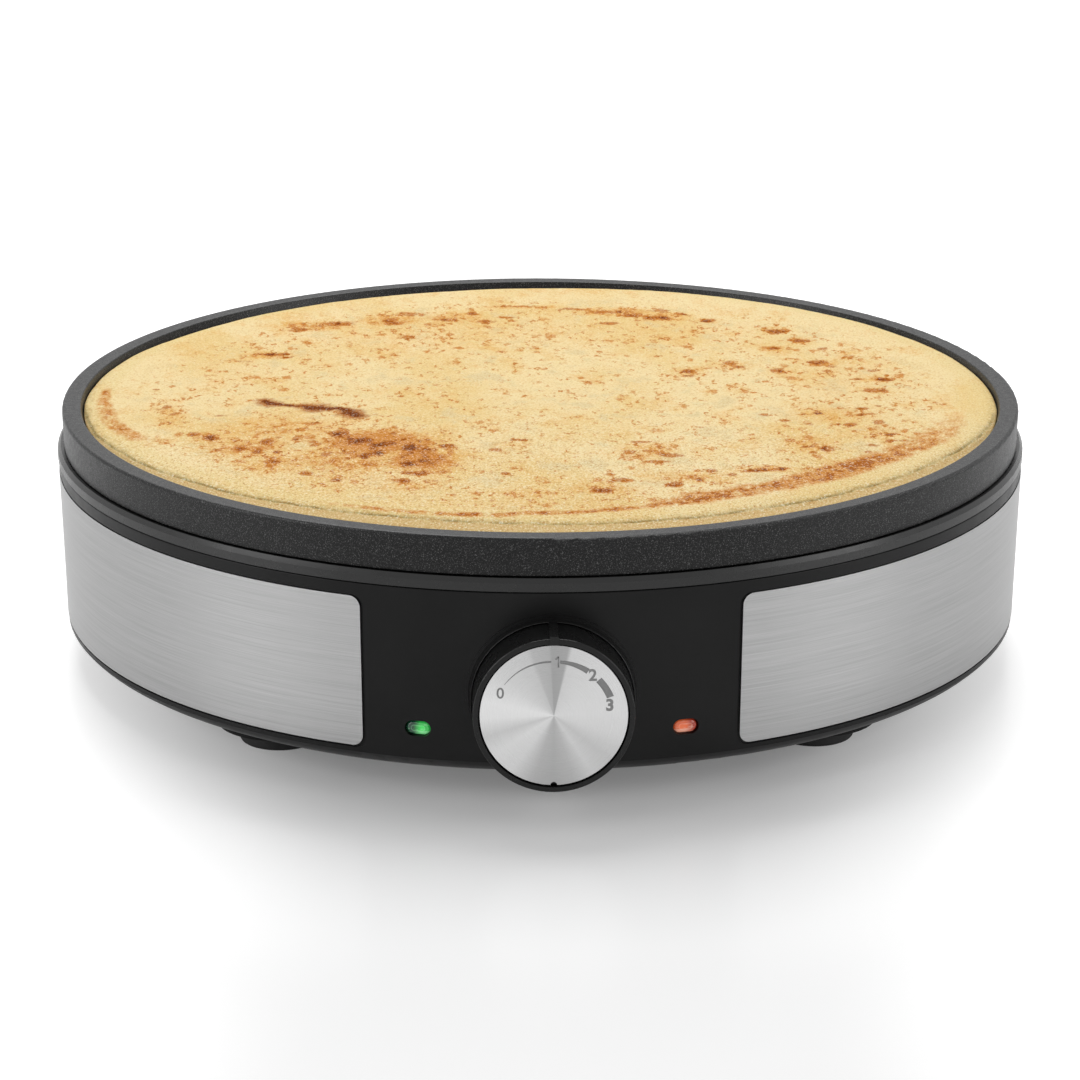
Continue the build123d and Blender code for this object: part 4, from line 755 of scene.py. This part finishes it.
def crepeHeights(turn, radius, crease, shape):
    # level + ripples + a swollen lip inside the crease - the crease - the fall to the band past it
    x, y = radius * np.sin(turn), -radius * np.cos(turn)
    ripples = sum(height * waves(x, y, length, seed) for height, length, seed in shape["ripples"])
    toLip = (radius - crease + shape["lipWidth"]) / shape["lipWidth"]
    swelling = shape["leftLip"] + (1.0 - shape["leftLip"]) * smooth(np.sin(turn), 0.0, 0.7)
    level = shape["top"] + ripples + shape["lipRise"] * swelling * np.exp(-toLip ** 2)
    unevenness, length, seed = shape["creaseRipple"]
    dip = np.exp(-((radius - crease) / shape["creaseWidth"]) ** 2)
    level -= dip * (shape["creaseDepth"] + unevenness * waves(x, y, length, seed))
    level -= shape["bandDrop"] * smooth(radius, crease + shape["bandStart"], crease + shape["bandEnd"])
    return np.minimum(level, shape["highest"])


def crepeGrid(shape):
    # rings of points, each with its turn, radius and height: even rings, closer ones over the lip, the band
    # past the crease, a quarter turn down at the edge, and the flat underside, where the edge has leant in
    turn = np.linspace(0.0, 2.0 * math.pi, shape["spokes"], endpoint=False)[None, :]
    outline = shape["outline"] - joined(turn, shape["shortfall"]) + waver(turn, shape["edgeWaver"])
    crease = joined(turn, shape["crease"]) + waver(turn, shape["creaseWaver"])
    edgeStart = outline - shape["edgeRun"]
    bend = np.minimum(crease, edgeStart - shape["creaseToEdge"])
    innerSteps = np.linspace(0.0, 1.0, shape["innerRings"], endpoint=False)[1:, None]
    lipSteps = np.linspace(0.0, 1.0, shape["lipRings"], endpoint=False)[:, None]
    bandSteps = np.linspace(0.0, 1.0, shape["bandRings"])[:, None]
    topRadius = np.concatenate([
        innerSteps * (bend - shape["lipZone"]),
        bend - shape["lipZone"] * (1.0 - lipSteps) ** shape["lipCrowding"],
        bend + (edgeStart - bend) * bandSteps ** shape["bandCrowding"],
    ])
    topHeight = crepeHeights(turn, topRadius, crease, shape)
    quarter = np.linspace(0.0, 0.5 * math.pi, shape["edgeRings"] + 1)[1:, None]
    underSteps = np.linspace(1.0, shape["poleShare"], shape["underRings"] + 1)[:, None]
    underRadius = underSteps * (outline - shape["inset"])
    radius = np.concatenate([topRadius, edgeStart + shape["edgeRun"] * np.sin(quarter), underRadius])
    edgeHeight = topHeight[-1:] - shape["edgeDrop"] * (1.0 - np.cos(quarter))
    height = np.concatenate([topHeight, edgeHeight, np.full(underRadius.shape, shape["under"])])
    return np.broadcast_to(turn, radius.shape), radius, height, crease, outline


def bakedCrepe(shape):
    # the grid as a closed shell, with the strength of its browning and its zones stored at each point
    turn, radius, height, crease, outline = crepeGrid(shape)
    x, y = radius * np.sin(turn), -radius * np.cos(turn)
    made = closedShell("crepe_baked", np.stack([x, y, height], -1) * mm)
    layers = {
        "toast": spotted(x, y, bakedSpots, 0.2, 1.4),
        "streak": bandStrength(turn, radius, brownedBand),
        "warm": spotted(x, y, warmPlaces, 0.1, 1.3),
        "fold": foldDistance(x, y, foldShadePath),
        "pastCrease": np.clip(radius - crease, -30.0, 20.0),
        "toEdge": outline - radius,
    }
    for label, values in layers.items():
        layer = made.data.attributes.new(label, "FLOAT", "POINT")
        flat = np.concatenate([values.reshape(-1), values[0, :1], values[-1, :1]])
        layer.data.foreach_set("value", flat.astype(np.float32))
    return made


# the crepe's browning and its painted shade, in metres but for the relief, which is in millimetres

crepeLook = {
    "pale": tone(244, 220, 166),
    "cream": tone(238, 208, 144),
    "ashen": tone(228, 206, 156),
    "fleck": tone(255, 247, 220),
    "honey": tone(232, 182, 104),
    "orange": tone(210, 140, 64),
    "russet": tone(188, 114, 50),
    # brown and dark are the freckles' real browning, and also the painted shade of the wrinkle on the left
    "brown": tone(170, 94, 26),
    "dark": tone(114, 50, 4),
    "lip": tone(236, 212, 150),
    # the next colour is painted shade on the outer half of the lip, before the crease
    "paintedShadeOlive": tone(172, 148, 86),
    # the next colour is painted shade along the crease's line
    "crease": tone(134, 116, 62),
    "band": tone(218, 188, 130),
    # the next colour is painted shade that darkens the band further out and at the crepe's edge
    "paintedEdgeShade": tone(196, 164, 104),
    "rough": 0.85,
    "specular": 0.03,
    "scatter": 0.05,
    "scatterDepth": 0.001,
    "drawnOut": (1.0, 0.68, 1.0),  # the whole pattern is a little longer from front to back
    # scale, detail and roughness of each noise
    "noises": {
        "slow": (20.0, 3.0, 0.6),
        "mottle": (85.0, 4.0, 0.65),
        "lace": (340.0, 3.0, 0.62),
        "curd": (520.0, 3.0, 0.7),
        "crumb": (1500.0, 2.0, 0.75),
    },
    "joltScale": 620.0,
    "jolt": (0.006, 0.006, 0.0),
    "smallFreckles": 400.0,
    "largeFreckles": 185.0,
    "freckleSize": 0.95,
    "coarseFrom": 0.0,  # y, in metres, from which the grain grows stronger towards the front
    "coarseTo": -0.09,
    "relief": 0.12,
}


def batterFields(tree, look):
    # by name: the noises, the values stored at the mesh's points, whose distances are in millimetres, and
    # the shaken point that the freckles use
    point = stretched(tree, objectPoint(tree), look["drawnOut"])
    fields = {label: noise(tree, point, *values) for label, values in look["noises"].items()}
    for label in ("toast", "warm", "streak", "fold", "pastCrease", "toEdge"):
        fields[label] = add(tree, "Attribute", attribute_name=label, attribute_type="GEOMETRY").outputs["Fac"]
    jolt = add(tree, "TexNoise", {"Vector": point, "Scale": look["joltScale"]}).outputs["Color"]
    jolt = vectorCalc(tree, "SUBTRACT", jolt, (0.5, 0.5, 0.5))
    fields["shaken"] = vectorCalc(tree, "ADD", point, vectorCalc(tree, "MULTIPLY", jolt, look["jolt"]))
    # the middle: 1 inside the lip and well away from the edge
    insideLip = between(tree, fields["pastCrease"], -15.0, -9.0, 1.0, 0.0)
    fields["middle"] = times(tree, insideLip, between(tree, fields["toEdge"], 8.0, 24.0))
    return fields


def groundLayers(tree, fields, look):
    # ashen clouds, then honey, orange and russet where it is baked more and more
    mottle, lace, curd = fields["mottle"], fields["lace"], fields["curd"]
    clouds = times(tree, between(tree, mottle, 0.47, 0.33, 0.0, 0.7), fields["middle"])
    warmth = between(tree, fields["warm"], 0.0, 0.6, 0.0, 0.95)
    honeyed = total(tree, between(tree, mottle, 0.5, 0.66, 0.0, 0.5), warmth)
    seared = total(tree, fields["warm"], swing(tree, lace, 1.1), swing(tree, curd, 0.8))
    blotches = total(tree, fields["toast"], swing(tree, lace, 1.3), swing(tree, curd, 0.9))
    return [
        (clouds, look["ashen"]),
        (times(tree, honeyed, between(tree, curd, 0.32, 0.6, 0.3, 1.0)), look["honey"]),
        (between(tree, seared, 0.38, 0.84, 0.0, 0.95), look["orange"]),
        (between(tree, blotches, 0.16, 0.6, 0.0, 0.85), look["russet"]),
    ]


def freckles(tree, shaken, scale, density, size):
    # round spots at scattered points: the denser they are, the more of them show and the wider they grow
    cells = add(tree, "TexVoronoi", {"Vector": shaken, "Scale": scale}, voronoi_dimensions="2D").outputs
    luck = add(tree, "SeparateColor", {0: cells["Color"]}).outputs[0]
    return calc(tree, "SUBTRACT", times(tree, total(tree, luck, density, -1.0), size), cells["Distance"])


def freckleLayer(tree, fields, look):
    # two scales of freckle, thickest in the browned places, each darker towards its own middle
    shaken, middle, warm, toast = (fields[label] for label in ("shaken", "middle", "warm", "toast"))
    density = total(tree, times(tree, middle, 0.3), swing(tree, fields["mottle"], 0.9),
                    times(tree, warm, 0.46), times(tree, toast, 0.72))
    denser = total(tree, density, times(tree, middle, 0.14))
    small = freckles(tree, shaken, look["smallFreckles"], denser, look["freckleSize"])
    large = freckles(tree, shaken, look["largeFreckles"], density, look["freckleSize"])
    spots = calc(tree, "MAXIMUM", small, large)
    heat = total(tree, times(tree, spots, 0.75), times(tree, toast, 0.16), times(tree, warm, 0.06),
                 swing(tree, fields["curd"], 0.35))
    stops = [(0.0, look["orange"]), (0.2, look["orange"]), (0.46, look["brown"]), (0.84, look["dark"])]
    presence = times(tree, between(tree, spots, -0.02, 0.1), between(tree, heat, 0.0, 0.26, 0.5, 1.0))
    return presence, ramp(tree, heat, stops)


def lipLayer(tree, fields, look):
    # a plain cream lip before the crease, except where it is toasted
    clean = calc(tree, "SUBTRACT", 1.0, times(tree, fields["toast"], 2.0), clamp=True)
    return times(tree, between(tree, fields["pastCrease"], -11.0, -7.0, 0.0, 0.5), clean), look["lip"]


def streakLayers(tree, fields, look):
    # browned bands: an orange fringe with a brown lace inside
    streak = fields["streak"]
    torn = total(tree, swing(tree, fields["lace"], 1.5), swing(tree, fields["curd"], 0.8),
                 swing(tree, fields["mottle"], 1.2))
    torn = times(tree, between(tree, streak, 0.02, 0.75, 0.1, 1.0), torn)
    return [
        (between(tree, total(tree, streak, torn), 0.1, 0.6, 0.0, 0.9), look["orange"]),
        (between(tree, total(tree, streak, times(tree, torn, 1.7)), 0.6, 1.0), look["brown"]),
    ]


def rimLayers(tree, fields, look, creaseShadeLine):
    # painted shade in olive before the crease, the thin band past it, that band's darker rim, painted shade
    # towards the edge, and the crease's dark line, painted shade in the crease
    past = fields["pastCrease"]
    paintedShadeBeforeCrease = times(tree, between(tree, past, -4.5, -0.6), between(tree, fields["curd"], 0.4, 0.62, 0.05, 0.32))
    return [
        (paintedShadeBeforeCrease, look["paintedShadeOlive"]),
        (between(tree, past, 0.1, 1.1), look["band"]),
        (between(tree, past, 2.5, 9.0, 0.0, 0.7), look["paintedEdgeShade"]),
        (between(tree, fields["toEdge"], 0.9, 0.1, 0.0, 0.5), look["paintedEdgeShade"]),
        (creaseShadeLine, look["crease"]),
    ]


def grainLayers(tree, fields, look):
    # dark and pale specks of one size all over, stronger towards the front
    y = split(tree, objectPoint(tree), "Y")[0]
    coarse = between(tree, y, look["coarseFrom"], look["coarseTo"], 1.0, 2.0)
    return [
        (times(tree, between(tree, fields["crumb"], 0.5, 0.82, 0.0, 0.46), coarse), look["brown"]),
        (times(tree, between(tree, fields["crumb"], 0.5, 0.2, 0.0, 0.5), coarse), look["fleck"]),
    ]


def crepeFinish(look):
    # baked batter: a cream ground with one layer over the other, each a cover from 0 to 1 and its colour
    made, tree, shader = surface("crepe_batter", {
        "Roughness": look["rough"],
        "Specular IOR Level": look["specular"],
        "Subsurface Weight": look["scatter"],
        "Subsurface Scale": look["scatterDepth"],
    })
    fields = batterFields(tree, look)
    # the crease's dark line, painted shade in the crease, broken up by the mottle, and the wrinkle on the
    # left with its painted shade
    creaseShadeLine = between(tree, calc(tree, "ABSOLUTE", fields["pastCrease"]), 0.8, 0.1)
    creaseShadeLine = times(tree, creaseShadeLine, between(tree, fields["mottle"], 0.4, 0.6, 0.15, 0.75))
    wrinkle = total(tree, fields["fold"], swing(tree, fields["curd"], 2.2), swing(tree, fields["lace"], 1.6))
    foldShade = between(tree, wrinkle, 1.1, 0.4)
    layers = [
        *groundLayers(tree, fields, look),
        freckleLayer(tree, fields, look),
        lipLayer(tree, fields, look),
        *streakLayers(tree, fields, look),
        *rimLayers(tree, fields, look, creaseShadeLine),
        # painted shade of the wrinkle: brown round it and dark at its core
        (between(tree, wrinkle, 2.6, 0.9, 0.0, 0.85), look["brown"]),
        (foldShade, look["dark"]),
        *grainLayers(tree, fields, look),
    ]
    shade = mix(tree, between(tree, fields["slow"], 0.4, 0.6), look["pale"], look["cream"])
    for cover, colour in layers:
        shade = mix(tree, cover, shade, colour)
    height = total(tree, times(tree, fields["crumb"], 0.6), fields["curd"],
                   times(tree, creaseShadeLine, -1.2), times(tree, foldShade, -1.0))
    feed(tree, shader, {"Base Color": shade, "Normal": bump(tree, height, look["relief"])})
    return made


crepePiece = bakedCrepe(crepeShape)
crepePiece.data.materials.append(crepeFinish(crepeLook))
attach(crepePiece, "crepe")
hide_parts("crepe")
print("crepe laid:", len(crepePiece.data.polygons), "faces")

# the dial's print, in millimetres

dialPrint = {
    "proud": 0.04,
    "sunk": 0.01,  # how far the bands and bars reach into the face
    # label, how far clockwise from the top, distance from the axis, height and boldness of the figure
    "figures": (("0", -65.5, 17.5, 3.4, 0.06), ("2", 42.0, 17.2, 3.6, 0.14), ("3", 78.7, 16.9, 3.6, 0.2)),
    "fontSize": 1.4,  # over the height of a figure
    # start and end turn, thickness at each, distance from the axis at each
    "bands": (
        (-56.0, -2.7, 0.16, 0.6, 17.7, 17.0),
        (6.0, 36.0, 0.95, 1.8, 17.0, 17.2),
        (49.8, 71.0, 2.1, 2.2, 17.4, 17.7),
    ),
    "bandSteps": 48,
    # stem and flag of the figure 1: x and height over the axis at each end, and the thickness
    "bars": ((1.3, 15.2, 1.3, 18.7, 0.45), (0.4, 17.7, 1.25, 18.5, 0.4)),
    "ink": (grey(138), 0.5, 2500.0, 0.002, 0.1, 0.5),  # as a row of mouldedStock
}

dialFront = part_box("dial_face")[0][1]
sideways = np.array([[-0.5, 0.5, 0.5, -0.5]])  # each corner's place across a band or bar, in thicknesses


def printedShell(name, x, z, dial):
    # four corners to a ring, two just inside the face and two proud of it, at the given x and height z
    out = np.array([[0.0, 0.0, 1.0, 1.0]]) * dial["proud"] - dial["sunk"]
    y = np.broadcast_to(dialFront - out * mm, x.shape)
    return closedShell(name, np.stack([x * mm, y, z * mm + axisHeight], -1))


def dialBand(name, band, dial):
    # a thin curved bar: an oblong section carried round the axis, swelling as it goes
    startTurn, endTurn, startThick, endThick, startRadius, endRadius = band
    share = np.linspace(0.0, 1.0, dial["bandSteps"])[:, None]
    turn = np.radians(startTurn + (endTurn - startTurn) * share)
    thick = startThick + (endThick - startThick) * share
    radius = startRadius + (endRadius - startRadius) * share + sideways * thick
    return printedShell(name, radius * np.sin(turn), radius * np.cos(turn), dial)


def dialBar(name, bar, dial):
    # a straight bar: its long edges lie half a thickness to each side of the line between two points
    startX, startZ, endX, endZ, thick = bar
    run = math.hypot(endX - startX, endZ - startZ)
    across = sideways * thick / run
    x = np.array([[startX], [endX]]) + across * (endZ - startZ)
    z = np.array([[startZ], [endZ]]) - across * (endX - startX)
    return printedShell(name, x, z, dial)


def dialFigure(name, figure, dial):
    # a figure cut as a thin mesh, stood upright on the face
    label, turn, radius, height, bold = figure
    curve = bpy.data.curves.new(name, "FONT")
    curve.body = label
    curve.align_x = "CENTER"
    curve.align_y = "CENTER"
    curve.size = height * dial["fontSize"] * mm
    curve.extrude = dial["proud"] * 0.5 * mm
    curve.offset = bold * mm
    holder = placed(name + "_curve", curve)
    bpy.context.view_layer.update()
    mesh = bpy.data.meshes.new_from_object(holder.evaluated_get(bpy.context.evaluated_depsgraph_get()))
    bpy.data.objects.remove(holder)
    bpy.data.curves.remove(curve)
    flat = np.zeros(len(mesh.vertices) * 3)
    mesh.vertices.foreach_get("co", flat)
    flat = flat.reshape(-1, 3)
    flat -= 0.5 * (flat.min(0) + flat.max(0))
    angle = math.radians(turn)
    x = flat[:, 0] + radius * math.sin(angle) * mm
    y = dialFront - flat[:, 2] - dial["proud"] * 0.5 * mm
    z = flat[:, 1] + radius * math.cos(angle) * mm + axisHeight
    mesh.vertices.foreach_set("co", np.stack([x, y, z], -1).reshape(-1))
    mesh.name = name
    mesh.update()
    return placed(name, mesh)


inkFinish = mouldedFinish("dial_ink", *dialPrint["ink"])
printed = []
for count, band in enumerate(dialPrint["bands"], 1):
    printed.append(dialBand(f"dial_band_{count}", band, dialPrint))
for count, bar in enumerate(dialPrint["bars"], 1):
    printed.append(dialBar(f"dial_bar_{count}", bar, dialPrint))
for figure in dialPrint["figures"]:
    printed.append(dialFigure(f"dial_figure_{figure[0]}", figure, dialPrint))
for piece in printed:
    piece.data.materials.clear()
    piece.data.materials.append(inkFinish)
    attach(piece, "base")
print("dial printed:", len(printed), "pieces")

# floor, lamps and sky, in metres

studio = {
    "floorReach": 7.0,
    "floorColour": (0.84, 0.84, 0.84, 1.0),
    "floorGloss": 0.22,
    "floorGlossIndex": 1.2,
    "floorLift": 0.16,
    # sidePaintedLight is painted light on the floor beside the object and far ahead and behind, seen only by
    # the camera
    "sidePaintedLight": 0.45,
    "sideStart": 0.06,
    "sideFull": 0.19,
    "liftStart": 0.36,
    "liftShare": 0.7,  # how much the distance ahead or behind counts beside the distance to the side
    "sky": 0.36,
    # name, place, aim, width, energy
    "lamps": (
        ("topLamp", (-0.1, 1.0, 1.75), (0.0, 0.0, 0.0), 1.3, 27.0),
        ("leftLamp", (-1.7, -0.7, 0.8), (0.0, 0.0, 0.05), 1.1, 11.0),
        ("rightLamp", (1.7, -0.7, 0.8), (0.0, 0.0, 0.05), 1.1, 10.0),
    ),
}


def seenRays(tree):
    # 1 for what the camera sees itself, in a mirror or through glass, 0 for light on the object
    ray = add(tree, "LightPath").outputs
    first = calc(tree, "MAXIMUM", ray["Is Camera Ray"], ray["Is Glossy Ray"])
    return calc(tree, "MAXIMUM", first, ray["Is Transmission Ray"])


def floorFinish(settings):
    # matte and a little glossy, lifted evenly towards white where it is seen, lifted further by painted
    # light, seen only by the camera, to the left and right and far ahead and behind, and clear from below
    made = bpy.data.materials.new("floor_white")
    made.use_nodes = True
    tree = made.node_tree
    tree.nodes.clear()
    seenDirectly = add(tree, "LightPath").outputs["Is Camera Ray"]
    matte = add(tree, "BsdfDiffuse", {"Color": settings["floorColour"]}).outputs[0]
    gloss = {"Color": (1.0, 1.0, 1.0, 1.0), "Roughness": settings["floorGloss"]}
    shine = add(tree, "BsdfGlossy", gloss).outputs[0]
    facing = add(tree, "Fresnel", {"IOR": settings["floorGlossIndex"]}).outputs[0]
    body = add(tree, "MixShader", {0: facing, 1: matte, 2: shine}).outputs[0]
    x, y = split(tree, objectPoint(tree), "XY")
    beyond = calc(tree, "SUBTRACT", calc(tree, "ABSOLUTE", y), settings["liftStart"], clamp=True)
    aside = total(tree, calc(tree, "ABSOLUTE", x), times(tree, beyond, settings["liftShare"]))
    sidePaintedLightLevel = between(tree, aside, settings["sideStart"], settings["sideFull"], 0.0, settings["sidePaintedLight"])
    # the even lift towards white, plus the painted light to the sides
    evenLiftAndPaintedLight = total(tree, times(tree, seenRays(tree), settings["floorLift"]), times(tree, sidePaintedLightLevel, seenDirectly))
    glow = add(tree, "Emission", {"Strength": evenLiftAndPaintedLight}).outputs[0]
    lit = add(tree, "AddShader", {0: body, 1: glow}).outputs[0]
    fromBelow = times(tree, add(tree, "NewGeometry").outputs["Backfacing"], seenDirectly)
    clear = add(tree, "BsdfTransparent").outputs[0]
    whole = add(tree, "MixShader", {0: fromBelow, 1: lit, 2: clear}).outputs[0]
    add(tree, "OutputMaterial", {0: whole})
    return made


def paleFloor(settings):
    # one level square round the object
    reach = settings["floorReach"]
    corners = [(-reach, -reach, 0.0), (reach, -reach, 0.0), (reach, reach, 0.0), (-reach, reach, 0.0)]
    mesh = bpy.data.meshes.new("floor")
    mesh.from_pydata(corners, [], [(0, 1, 2, 3)])
    mesh.materials.append(floorFinish(settings))
    placed("floor", mesh)


def softLamp(name, spot, aim, width, energy):
    # a square lamp turned so that it shines from its place to its aim
    lamp = bpy.data.lights.new(name, "AREA")
    lamp.shape = "SQUARE"
    lamp.size = width
    lamp.energy = energy
    made = placed(name, lamp)
    made.location = spot
    awayX, awayY, awayZ = np.array(spot) - np.array(aim)
    made.rotation_euler = (math.atan2(math.hypot(awayX, awayY), awayZ), 0.0, math.atan2(awayX, -awayY))


def paleSky(settings):
    # white to look at, and weaker as light on the object
    world = bpy.data.worlds.new("studioSky")
    world.use_nodes = True
    tree = world.node_tree
    tree.nodes.clear()
    strength = between(tree, seenRays(tree), 0.0, 1.0, settings["sky"], 1.0, eased=False)
    add(tree, "OutputWorld", {0: add(tree, "Background", {"Strength": strength}).outputs[0]})
    scene.world = world


paleFloor(studio)
paleSky(studio)
for lampSettings in studio["lamps"]:
    softLamp(*lampSettings)
print("studio lit")
